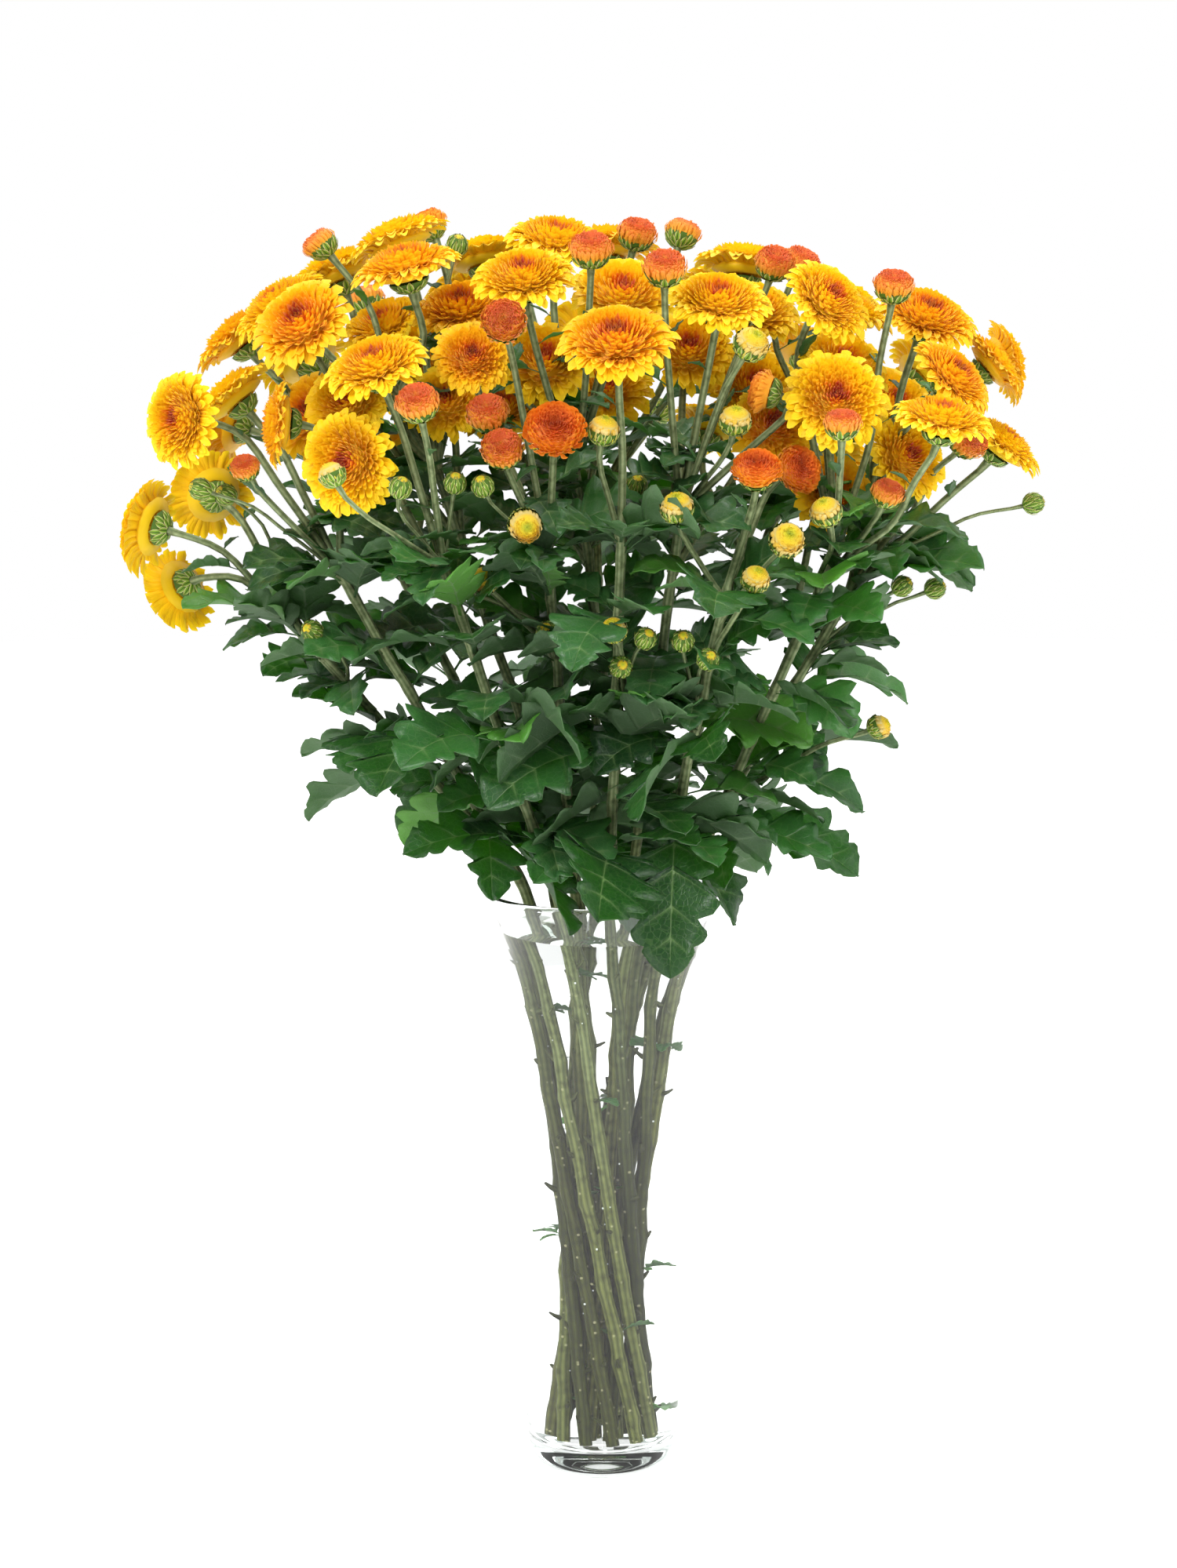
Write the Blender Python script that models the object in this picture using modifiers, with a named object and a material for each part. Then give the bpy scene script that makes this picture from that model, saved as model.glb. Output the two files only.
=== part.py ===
"""Spray chrysanthemums in a flared glass vase, built with Blender's modelling tools.

Metres, +Z up. The origin is the centre of the vase's foot, on the surface it stands on, and -Y is the front.
Each flowering stem is one solid with its side shoots, buttons and buds, because it grew as one piece.
The open blooms and the large lower leaves are separate solids, a hair's breadth from the shoot they sit on.
"""
import math
from typing import NamedTuple

import bmesh
import bpy
import numpy as np
from mathutils import Matrix, Vector

CM = 0.01
GAP = 0.0003

# ---------------------------------------------------------------- driving dimensions, in centimetres
VASE_HEIGHT = 25.7
VASE_FLOOR = 1.1
VASE_WALL = 0.25
VASE_SEGMENTS = 24
# Outer radius of the vase at a few heights, rim first: a strong flare, then a slow taper to the foot.
VASE_OUTSIDE = [
    (5.2, 25.7), (4.85, 24.9), (4.45, 24.0), (4.1, 22.6), (3.95, 20.5), (3.85, 13.0),
    (3.55, 5.5), (3.3, 1.6), (3.05, 0.35), (2.6, 0.0),
]
WATER_LEVEL = 24.0
WATER_CLEARANCE = 0.06

STEM_RADIUS = 0.26
STEM_TOP_RADIUS = 0.21
SHOOT_RADIUS = 0.16
BUNDLE_STRAIGHT_TOP = 21.0
RIM_PASS_HEIGHT = 26.0
# A ring of stems: its radius in cm at the feet, at the straight top and at the rim, and its twist in degrees.
OUTER_RING = (1.65, 2.35, 3.7, -108.0)
INNER_RING = (0.5, 1.05, 1.7, 95.0)
SHOOT_GAP = 0.08
HEAD_GAP = 0.06
HEAD_MARGIN = 0.08
NECK = 0.25
SHOOT_STEPS = 4
FORK_DEPTH = 0.6
# Closed buds are smaller than a fingertip and stay out of the solids, with their thin stalks.
LEFT_OUT = ("bud",)

SPREAD_ROUNDS = 120
CROWD_ROUNDS = 80


class HeadShape(NamedTuple):
    """Turned outline of a flower head: (radius, height) from its seat on the shoot to its crown, in cm."""

    outline: list
    reach: float
    segments: int


# Every stage of opening, at its full size: seat first, crown last. reach is how far down its shoot forks off.
BLOOM_OUTLINE = [(0.3, 0), (0.9, 0.4), (2.35, 0.9), (2.35, 1.25), (1.2, 2.05)]
HEADS = {
    "bloom": HeadShape(BLOOM_OUTLINE, 7.5, 9),
    "inner": HeadShape(BLOOM_OUTLINE, 7.5, 8),
    "young": HeadShape([(0.3, 0), (1.3, 0.8), (1.2, 1.6), (0.6, 1.85)], 6.0, 7),
    "button": HeadShape([(0.3, 0), (0.93, 0.7), (0.7, 1.35)], 6.0, 7),
    "opening": HeadShape([(0.25, 0), (0.7, 0.6), (0.4, 1.2)], 4.5, 6),
    "bud": HeadShape([(0.2, 0), (0.44, 0.45), (0.2, 0.9)], 3.5, 5),
}


class Head(NamedTuple):
    """A flower head: its stage, the middle of its crown in cm, the way it faces in degrees, its size."""

    kind: str
    x: float
    y: float
    z: float
    azimuth: float
    elevation: float
    size: float = 1.0


class Stem(NamedTuple):
    """A flowering stem: its place in the bundle, its route above the rim in cm, and the heads it carries."""

    name: str
    ring: tuple
    rim_angle: float
    route: list
    heads: list


# Azimuth 0 faces +X (right), -90 faces the front, 180 the left; elevation 90 faces straight up.
STEMS = [
    Stem("front_centre", OUTER_RING, -86, [(0.9, -5.2, 31), (0.8, -6.8, 37), (0.7, -8.6, 42)], [
        Head("bloom", 0.5, -11.0, 49.5, -95, 54, 1.04),
        Head("opening", 0.0, -9.8, 46.0, -60, 65),
        Head("opening", 0.4, -9.5, 38.0, -110, 45, 0.85),
        Head("bud", 1.7, -9.0, 37.6, -60, 40),
        Head("bud", 0.7, -9.5, 36.5, -80, 20),
    ]),
    Stem("front_left", OUTER_RING, -122, [(-4.2, -4.9, 31), (-5.3, -6.4, 36), (-6.6, -8.2, 41)], [
        Head("button", -7.5, -11.5, 47.3, -105, 55, 1.0),
        Head("bloom", -9.4, -9.0, 48.6, -120, 58, 0.98),
        Head("bloom", -10.3, -9.0, 44.8, -115, 0, 0.95),
        Head("opening", -10.6, -12.2, 44.4, 170, 65, 0.85),
        Head("bud", -8.0, -10.8, 43.8, -60, 60),
        Head("bud", -5.9, -9.6, 43.9, -80, 50),
    ]),
    Stem("left", OUTER_RING, -158, [(-6.0, -2.6, 31), (-8.5, -3.6, 36.5), (-11.2, -4.6, 40.3)], [
        Head("bloom", -17.0, -7.0, 46.3, -130, 5, 0.88),
        Head("bloom", -15.0, -3.4, 47.4, 170, 48, 0.9),
        Head("bloom", -12.9, -7.2, 46.3, -172, 5, 0.8),
        Head("button", -14.2, -7.4, 44.6, -110, 50, 0.7),
        Head("bud", -16.4, -6.4, 43.4, -160, 20),
    ]),
    Stem("far_left", OUTER_RING, 166, [(-7.0, -0.6, 30.5), (-10.3, -0.9, 34.5), (-13.2, -1.3, 37.4)], [
        Head("bloom", -18.9, -2.4, 41.4, 158, 12, 0.92),
        Head("bloom", -16.8, 1.8, 42.6, 118, 12, 0.88),
        Head("inner", -18.1, -0.2, 38.9, 140, -25, 0.86),
        Head("bud", -15.6, -4.0, 43.0, -140, 30),
        Head("bud", -12.0, -5.4, 37.5, -120, 20),
    ]),
    Stem("back_left", OUTER_RING, 130, [(-5.2, 3.2, 31), (-8.0, 3.4, 37), (-10.4, 2.8, 42.5)], [
        Head("bloom", -13.2, -2.4, 50.3, -160, 52),
        Head("bloom", -15.3, 1.4, 49.4, 175, 50, 0.96),
        Head("bloom", -11.4, 1.4, 51.9, 160, 65),
        Head("bloom", -13.0, 6.2, 48.3, 140, 40),
        Head("bloom", -16.2, 5.0, 45.4, 160, 15, 0.92),
        Head("button", -10.4, 7.2, 50.6, 130, 60),
        Head("inner", -12.4, 1.4, 46.0, -120, 30, 0.95),
        Head("inner", -9.1, 8.2, 44.2, 147, 46, 0.9),
    ]),
    Stem("back", OUTER_RING, 94, [(-0.5, 5.6, 31), (-0.6, 7.2, 37), (-0.2, 7.8, 42.5)], [
        Head("bloom", -5.6, 7.6, 51.2, 115, 58),
        Head("bloom", 0.2, 5.6, 53.0, 90, 75),
        Head("bloom", -8.6, 10.6, 47.2, 125, 35, 0.94),
        Head("bloom", -0.6, 11.6, 49.0, 92, 32),
        Head("bloom", 5.4, 8.2, 51.0, 65, 58),
        Head("button", -3.4, 10.8, 51.4, 100, 50),
        Head("opening", 2.6, 12.2, 45.6, 80, 30),
        Head("inner", -3.2, 4.6, 48.6, -90, 60, 0.9),
        Head("inner", 3.2, 5.0, 49.2, -80, 60, 0.9),
        Head("inner", -2.1, 9.1, 44.9, 105, 55, 0.9),
    ]),
    Stem("back_right", OUTER_RING, 58, [(4.2, 4.2, 31), (6.3, 5.0, 37), (8.0, 5.0, 42.5)], [
        Head("bloom", 6.0, 1.2, 52.3, 60, 78),
        Head("bloom", 10.4, 1.6, 50.4, -20, 66, 0.92),
        Head("bloom", 9.4, 9.8, 48.0, 50, 38),
        Head("bloom", 14.2, 6.4, 47.4, 30, 32, 0.96),
        Head("inner", 10.4, 5.4, 50.6, 45, 62, 0.94),
        Head("button", 8.2, -1.4, 52.4, -40, 60, 0.95),
        Head("button", 3.4, 2.8, 53.6, 40, 65, 0.9),
        Head("inner", 6.4, 1.6, 47.2, -80, 35, 0.95),
        Head("inner", 4.9, 9.1, 44.9, 56, 52, 0.9),
        Head("inner", 10.5, 7.3, 44.2, 22, 44, 0.9),
    ]),
    Stem("right", OUTER_RING, 22, [(6.6, 0.6, 31), (9.2, 0.0, 36.5), (11.8, -0.6, 40.8)], [
        Head("bloom", 13.6, -2.6, 49.7, -60, 58, 0.98),
        Head("bloom", 16.4, 0.0, 48.2, 5, 38, 0.8),
        Head("bloom", 17.3, 3.4, 48.2, 10, 15, 0.82),
        Head("bloom", 16.7, -1.8, 44.9, -15, 52, 0.86),
        Head("bloom", 13.9, -5.4, 48.0, -35, 42, 0.88),
        Head("button", 14.8, -5.6, 45.4, -60, 35, 0.9),
        Head("bud", 18.2, -1.0, 42.4, 0, 15),
        Head("inner", 12.4, 1.8, 46.4, -60, 35, 0.9),
        Head("inner", 12.2, -3.6, 44.4, -60, 25, 0.85),
        Head("bud", 14.3, 1.0, 38.6, -10, 25),
        Head("bud", 12.7, -1.0, 38.9, -30, 35),
        Head("opening", 11.6, -3.2, 33.2, -15, 25, 0.8),
    ]),
    Stem("front_right", OUTER_RING, -14, [(5.9, -3.2, 31), (7.5, -4.3, 36.5), (9.8, -5.8, 41.3)], [
        Head("bloom", 12.6, -8.6, 46.8, -55, 72, 0.94),
        Head("bloom", 9.9, -8.0, 47.4, -85, 25, 0.96),
        Head("bloom", 9.4, -6.4, 50.2, -50, 36, 0.9),
        Head("button", 11.4, -5.6, 51.4, -80, 68, 0.95),
        Head("button", 9.3, -11.8, 46.3, -90, 72, 0.85),
        Head("opening", 8.8, -10.2, 42.8, -120, 55),
        Head("button", 11.4, -7.9, 43.3, -60, 60, 0.8),
        Head("inner", 9.6, -3.4, 43.4, -75, 20, 0.8),
        Head("inner", 9.8, -4.4, 48.4, -65, 41, 0.88),
    ]),
    Stem("near_right", OUTER_RING, -50, [(3.2, -5.2, 31), (4.1, -7.0, 36), (5.0, -8.6, 39.8)], [
        Head("young", 6.0, -11.2, 44.5, -92, 52, 0.85),
        Head("opening", 7.2, -11.6, 41.8, -80, 30, 1.1),
        Head("opening", 6.0, -11.0, 40.2, -70, 50, 0.9),
        Head("opening", 2.9, -10.6, 43.0, -100, 60, 1.05),
        Head("young", 8.0, -8.2, 44.8, -60, 20, 0.85),
        Head("bud", 3.2, -9.0, 37.5, -90, 40),
        Head("bud", 4.2, -9.4, 36.8, -70, 30),
    ]),
    Stem("heart_left", INNER_RING, -135, [(-1.5, -2.6, 31), (-1.7, -4.6, 36.5), (-2.3, -6.8, 41.3)], [
        Head("young", -2.0, -10.6, 46.0, -88, 35, 1.05),
        Head("button", -4.0, -10.0, 45.4, -95, 40),
        Head("button", -4.6, -8.9, 46.6, -100, 50),
        Head("bloom", -5.2, -7.6, 48.6, -85, 32, 0.74),
        Head("button", -3.9, -11.0, 50.3, -92, 22, 1.05),
        Head("opening", -3.1, -10.8, 42.3, -80, -5, 1.05),
        Head("bud", -4.8, -10.0, 43.8, -110, 50),
        Head("opening", -4.8, -7.4, 39.8, -90, 25, 0.9),
        Head("bud", -7.2, -6.4, 40.4, -105, 40),
        Head("bud", -2.3, -6.6, 37.6, -100, 35),
    ]),
    Stem("heart_right", INNER_RING, -45, [(2.2, -2.0, 31), (2.5, -4.0, 37.5), (3.2, -6.2, 43)], [
        Head("button", 2.4, -9.6, 52.3, -90, 62),
        Head("bloom", 4.6, -7.8, 51.0, -82, 60, 0.94),
        Head("opening", 5.8, -10.4, 49.4, -60, 45, 1.1),
        Head("opening", 5.2, -10.0, 46.4, -80, 62, 1.0),
        Head("button", 7.0, -4.6, 52.4, -70, 55, 0.95),
        Head("young", 6.6, -7.4, 47.4, 170, 15, 0.75),
        Head("inner", 3.6, -0.6, 48.8, -85, 38, 0.95),
        Head("inner", 7.2, -3.8, 45.6, -80, 25, 0.85),
        Head("inner", 6.3, -2.6, 50.5, -69, 52, 0.88),
    ]),
    Stem("crown_left", INNER_RING, 135, [(-3.0, 0.6, 32), (-5.3, -0.6, 38.5), (-7.2, -2.0, 44.5)], [
        Head("bloom", -8.6, -6.2, 51.9, -140, 72),
        Head("bloom", -8.6, -1.6, 53.3, 165, 68),
        Head("young", -7.4, 2.0, 54.0, 150, 60, 0.75),
        Head("button", -11.8, -1.8, 53.0, 175, 50, 0.85),
        Head("inner", -11.4, -6.2, 49.8, -118, 38),
        Head("bud", -6.0, -3.2, 53.2, -60, 60),
        Head("inner", -5.0, 3.0, 52.6, 120, 70, 0.94),
        Head("inner", -8.2, 0.6, 48.6, -95, 35, 0.95),
        Head("inner", -6.6, -3.4, 46.8, -100, 35, 0.85),
        Head("inner", -10.4, -3.4, 46.8, -115, 30, 0.9),
        Head("inner", -9.1, -0.8, 49.8, -125, 55, 0.85),
    ]),
    Stem("crown_right", INNER_RING, 45, [(0.4, 1.2, 32), (-0.6, 0.4, 38.5), (-1.2, -1.4, 44.5)], [
        Head("bloom", -3.2, -6.8, 51.9, -95, 58, 0.94),
        Head("inner", -5.8, -3.6, 50.6, -110, 60, 0.96),
        Head("bloom", -2.0, 0.2, 53.3, -70, 70),
        Head("button", -0.5, -8.4, 53.0, -90, 65),
        Head("inner", 0.8, -5.0, 51.2, -85, 48),
        Head("button", 1.4, -1.2, 53.6, -60, 65, 0.95),
        Head("inner", -2.4, -2.8, 48.4, -90, 40, 0.95),
        Head("inner", 0.2, 1.0, 47.2, -85, 35, 0.9),
        Head("inner", -4.2, -0.8, 46.3, -114, 58, 0.88),
        Head("bud", 1.4, -3.6, 43.4, -80, 50),
    ]),
]


class Leaf(NamedTuple):
    """A large leaf: its stem, the height of its node, the way it points and droops in degrees, its size in cm."""

    name: str
    stem: str
    height: float
    azimuth: float
    droop: float
    length: float
    width: float
    roll: float


LEAVES = [
    Leaf("leaf_front_hanging", "near_right", 29.6, -95, 62, 7.2, 4.4, 10),
    Leaf("leaf_front_broad", "front_centre", 34.2, -150, 25, 6.0, 4.6, 55),
    Leaf("leaf_left_long", "left", 31.6, 172, -2, 6.4, 3.8, 25),
    Leaf("leaf_left_low", "front_left", 28.6, -170, 6, 5.6, 3.6, -25),
    Leaf("leaf_right_long", "right", 31.2, 2, -5, 6.4, 3.8, -20),
    Leaf("leaf_right_low", "front_right", 28.6, -8, 14, 5.2, 3.4, 25),
    Leaf("leaf_back_right", "back_right", 30.4, 62, 20, 6.2, 4.0, 10),
    Leaf("leaf_back_left", "back_left", 30.4, 128, 20, 6.2, 4.0, -10),
]
# Half outline of a lobed leaf: (share of its length, share of its half width), from stalk to tip.
LEAF_OUTLINE = [
    (0.0, 0.07), (0.2, 0.07), (0.3, 0.5), (0.42, 0.66), (0.44, 0.4), (0.58, 1.0), (0.7, 0.82), (0.72, 0.42),
    (0.86, 0.5), (1.0, 0.0),
]
LEAF_THICKNESS = 0.08

COLOURS = {
    "glass": ((0.86, 0.93, 0.93), 0.03),
    "water": ((0.80, 0.88, 0.86), 0.02),
    "stem": ((0.16, 0.24, 0.09), 0.6),
    "petal": ((1.0, 0.42, 0.02), 0.55),
    "leaf": ((0.04, 0.13, 0.03), 0.45),
}


# ---------------------------------------------------------------- scene helpers
def clear_scene() -> None:
    """Remove every object that the file opened with."""
    for obj in list(bpy.data.objects):
        bpy.data.objects.remove(obj, do_unlink=True)


def new_collection(name: str) -> bpy.types.Collection:
    """Add a collection under the scene's own."""
    collection = bpy.data.collections.new(name)
    bpy.context.scene.collection.children.link(collection)
    return collection


def new_material(name: str) -> bpy.types.Material:
    """Make a Principled material from its entry in COLOURS."""
    colour, roughness = COLOURS[name]
    material = bpy.data.materials.new(name)
    material.use_nodes = True
    shader = material.node_tree.nodes["Principled BSDF"]
    shader.inputs["Base Color"].default_value = (*colour, 1.0)
    shader.inputs["Roughness"].default_value = roughness
    shader.inputs["Metallic"].default_value = 0.0
    if name in ("glass", "water"):
        shader.inputs["Transmission Weight"].default_value = 1.0
    return material


def add_object(name: str, data: bpy.types.ID, collection: bpy.types.Collection) -> bpy.types.Object:
    """Link a new object for the given mesh or curve."""
    obj = bpy.data.objects.new(name, data)
    collection.objects.link(obj)
    return obj


def mark_as_cutter(obj: bpy.types.Object) -> None:
    """Show a construction solid as wire only."""
    obj.hide_render = True
    obj.display_type = "WIRE"


def finish_part(obj: bpy.types.Object, material: bpy.types.Material) -> None:
    """Give a part its material and smooth round faces with sharp edges kept."""
    obj.data.materials.clear()
    obj.data.materials.append(material)
    if obj.type == "MESH":
        obj.data.shade_smooth()
        obj.data.set_sharp_from_angle(angle=math.radians(40))


# ---------------------------------------------------------------- turned shapes
def turned(name: str, profile: list, segments: int, collection: bpy.types.Collection) -> bpy.types.Object:
    """Turn a profile, given in cm and running down its outer side, about Z with a Screw modifier."""
    mesh = bpy.data.meshes.new(name)
    points = [(radius * CM, 0.0, height * CM) for radius, height in profile]
    mesh.from_pydata(points, [(i, i + 1) for i in range(len(points) - 1)], [])
    obj = add_object(name, mesh, collection)
    screw = obj.modifiers.new("Screw", "SCREW")
    screw.axis = "Z"
    screw.angle = math.tau
    screw.steps = segments
    screw.render_steps = segments
    screw.use_merge_vertices = True
    screw.merge_threshold = 0.00005
    return obj


def outside_radius(height: float) -> float:
    """Read the vase's outer radius at a height, in cm."""
    heights = [z for _, z in reversed(VASE_OUTSIDE)]
    radii = [r for r, _ in reversed(VASE_OUTSIDE)]
    return float(np.interp(height, heights, radii))


def inside_profile(low: float, high: float, inset: float) -> list:
    """List the vase's inner wall from its floor up, in cm, with a rounded corner at the floor."""
    corner = [(2.45 - inset, low), (2.85 - inset, low + 0.25), (3.08 - inset, low + 1.1)]
    rising = [z for _, z in reversed(VASE_OUTSIDE) if low + 1.5 < z < high]
    wall = [(outside_radius(z) - VASE_WALL - inset, z) for z in rising]
    top = [(outside_radius(high) - VASE_WALL - inset, high)]
    return [(0.0, low)] + corner + wall + top


def build_vase(collection: bpy.types.Collection) -> bpy.types.Object:
    """Turn the vase: thick bottom, thin flared wall and a rim that is a little rounded."""
    inner = inside_profile(VASE_FLOOR, VASE_HEIGHT - 0.12, 0.0)
    rim = [(outside_radius(VASE_HEIGHT) - 0.14, VASE_HEIGHT)]
    outer = [(r, z) for r, z in VASE_OUTSIDE[1:]]
    lip = [(outside_radius(VASE_HEIGHT), VASE_HEIGHT - 0.1)]
    return turned("vase", inner + rim + lip + outer + [(0.0, 0.0)], VASE_SEGMENTS, collection)


def build_water(paths: list, collection: bpy.types.Collection) -> tuple:
    """Turn the water inside the vase, and in a collection of their own a channel for every stem."""
    inner = inside_profile(VASE_FLOOR + 0.03, WATER_LEVEL, 0.04)
    water = turned("water", inner + [(0.0, WATER_LEVEL)], VASE_SEGMENTS, collection)
    channels = new_collection("water_channels")
    for path in paths:
        foot, second = Vector(path[0]), Vector(path[1])
        points = [foot - (second - foot).normalized()] + [p for p in path[1:] if p[2] < RIM_PASS_HEIGHT + 0.5]
        radius = (STEM_RADIUS + WATER_CLEARANCE) / math.cos(math.pi / 8)
        tool = tube("channel", points, [radius] * len(points), 2, channels)
        mark_as_cutter(tool)
    return water, channels


# ---------------------------------------------------------------- routes
def facing(head: Head) -> Vector:
    """Turn a head's azimuth and elevation into a unit vector."""
    azimuth = math.radians(head.azimuth)
    elevation = math.radians(head.elevation)
    flat = math.cos(elevation)
    return Vector((flat * math.cos(azimuth), flat * math.sin(azimuth), math.sin(elevation)))


def half_size(head: Head) -> tuple:
    """Give a head's largest radius and half its height, in cm."""
    outline = HEADS[head.kind].outline
    radius = max(r for r, _ in outline) * head.size
    return radius, 0.5 * outline[-1][1] * head.size


def reach_along(head: Head, direction: Vector) -> float:
    """Give how far a head, taken as a flattened ball, reaches from its middle in a direction, in cm."""
    radius, half_height = half_size(head)
    along = direction.dot(facing(head))
    return math.sqrt(radius ** 2 * (1.0 - along ** 2) + half_height ** 2 * along ** 2)


def crowd(stems: list) -> dict:
    """Push overlapping heads apart, a little at a time, until each has room. Returns middles in cm."""
    heads = [head for stem in stems for head in stem.heads]
    middles = [Vector((head.x, head.y, head.z)) for head in heads]
    for _ in range(CROWD_ROUNDS):
        for i, first in enumerate(heads):
            for j in range(i + 1, len(heads)):
                offset = middles[j] - middles[i]
                distance = offset.length
                if distance > 5.5:
                    continue
                direction = offset / distance
                room = reach_along(first, direction) + reach_along(heads[j], direction) + HEAD_GAP
                if distance < room:
                    push = 0.25 * (room - distance)
                    middles[i] -= direction * push
                    middles[j] += direction * push
    return {head: middle for head, middle in zip(heads, middles)}


def polar(radius: float, angle: float, height: float) -> Vector:
    """Place a point from its distance to the vase's axis, its plan angle in degrees and its height."""
    turn = math.radians(angle)
    return Vector((radius * math.cos(turn), radius * math.sin(turn), height))


def smooth(points: list, steps: int) -> list:
    """Run a Catmull-Rom curve through the points, with a number of steps between each two."""
    ends = [points[0] * 2 - points[1]] + points + [points[-1] * 2 - points[-2]]
    curve = []
    for i in range(1, len(ends) - 2):
        a, b, c, d = ends[i - 1:i + 3]
        for step in range(steps):
            t = step / steps
            curve.append(0.5 * (2 * b + (c - a) * t + (2 * a - 5 * b + 4 * c - d) * t ** 2
                                + (3 * b - a - 3 * c + d) * t ** 3))
    return curve + [points[-1]]


def main_route(stem: Stem) -> list:
    """Lay a stem's main axis: straight and leaning in the bundle, then out over the rim to its fork, in cm."""
    foot_radius, top_radius, rim_radius, twist = stem.ring
    foot_height = VASE_FLOOR + 0.03 + STEM_RADIUS * 0.22
    lean = math.copysign(10.0, twist)
    foot = polar(foot_radius, stem.rim_angle - twist - lean, foot_height)
    straight_top = polar(top_radius, stem.rim_angle - lean, BUNDLE_STRAIGHT_TOP)
    rim = polar(rim_radius, stem.rim_angle, RIM_PASS_HEIGHT)
    before = foot.lerp(straight_top, 0.8)
    upper = smooth([before, straight_top, rim] + [Vector(p) for p in stem.route], 2)
    return [foot, foot.lerp(straight_top, 0.4)] + upper


def point_at_height(path: list, height: float) -> Vector:
    """Find where a route first reaches a height, in cm."""
    for low, high in zip(path, path[1:]):
        if low[2] <= height <= high[2]:
            share = (height - low[2]) / (high[2] - low[2])
            return Vector(low).lerp(Vector(high), share)
    return Vector(path[-1])


def seat_of(head: Head, middle: Vector) -> Vector:
    """Find where a head sits on its shoot: half its height behind its middle."""
    return middle - facing(head) * half_size(head)[1]


def shoot_route(path: list, head: Head, middle: Vector) -> list:
    """Curve a side shoot from the stem's axis up to a head's seat, arriving along the way it faces."""
    seat = seat_of(head, middle)
    reach = HEADS[head.kind].reach
    start = point_at_height(path, min(seat.z - 0.75 * reach, path[-1][2] - FORK_DEPTH))
    rise = Vector((0.0, 0.0, 0.35 * (seat - start).length))
    back = facing(head) * 0.35 * (seat - start).length
    first, second = start + rise * 0.8, seat - back
    steps = SHOOT_STEPS
    route = []
    for step in range(steps + 1):
        t = step / steps
        s = 1.0 - t
        route.append(start * s ** 3 + first * 3 * s * s * t + second * 3 * s * t * t + seat * t ** 3)
    return route


class Shoot(NamedTuple):
    """A route in cm with its radius at each end, the stem it belongs to and the head it carries, if any."""

    points: np.ndarray
    radii: tuple
    stem: int
    head: int


def closest_shares(base: np.ndarray, along: np.ndarray, other: np.ndarray, other_along: np.ndarray) -> tuple:
    """Find the share along each segment of two lists at which the pair comes closest."""
    between = base - other
    a = np.einsum("ij,ij->i", along, along)
    b = np.einsum("ij,ij->i", along, other_along)
    c = np.einsum("ij,ij->i", other_along, other_along)
    d = np.einsum("ij,ij->i", along, between)
    e = np.einsum("ij,ij->i", other_along, between)
    first = np.clip((b * e - c * d) / np.maximum(a * c - b * b, 1e-9), 0.0, 1.0)
    second = np.clip((b * first + e) / np.maximum(c, 1e-9), 0.0, 1.0)
    first = np.clip((b * second - d) / np.maximum(a, 1e-9), 0.0, 1.0)
    return first[:, None], second[:, None]


def push_off_shoots(points: np.ndarray, pairs: tuple, room: np.ndarray) -> np.ndarray:
    """Work out the moves that part every too close pair of segments."""
    moves = np.zeros_like(points)
    a, b = pairs
    near = np.linalg.norm(points[a] - points[b], axis=1) < 6.0
    a, b, room = a[near], b[near], room[near]
    s, t = closest_shares(points[a], points[a + 1] - points[a], points[b], points[b + 1] - points[b])
    offset = points[b] * (1 - t) + points[b + 1] * t - points[a] * (1 - s) - points[a + 1] * s
    distance = np.maximum(np.linalg.norm(offset, axis=1), 1e-6)
    push = offset * (0.3 * np.maximum(room - distance, 0.0) / distance)[:, None]
    for rows, shift in ((a, -push * (1 - s)), (a + 1, -push * s), (b, push * (1 - t)), (b + 1, push * t)):
        np.add.at(moves, rows, shift)
    return moves


def push_off_heads(points: np.ndarray, widths: np.ndarray, own: np.ndarray, heads: list,
                   middles: np.ndarray) -> np.ndarray:
    """Work out the moves that clear points off every head, taken as flattened balls, but their own."""
    axes = np.array([list(facing(head)) for head in heads])
    sizes = np.array([half_size(head) for head in heads])
    margin = widths[:, None] + HEAD_MARGIN
    offset = points[:, None, :] - middles[None, :, :]
    along = np.einsum("phk,hk->ph", offset, axes)
    across = np.linalg.norm(offset - along[:, :, None] * axes[None], axis=2)
    depth = 1.0 - np.hypot(along / (sizes[:, 1] + margin), across / (sizes[:, 0] + margin))
    depth = np.where(own, 0.0, np.maximum(depth, 0.0)) * (sizes[:, 1] + margin)
    away = offset / np.maximum(np.linalg.norm(offset, axis=2), 1e-6)[:, :, None]
    return 0.5 * np.einsum("ph,phk->pk", depth, away)


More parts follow.
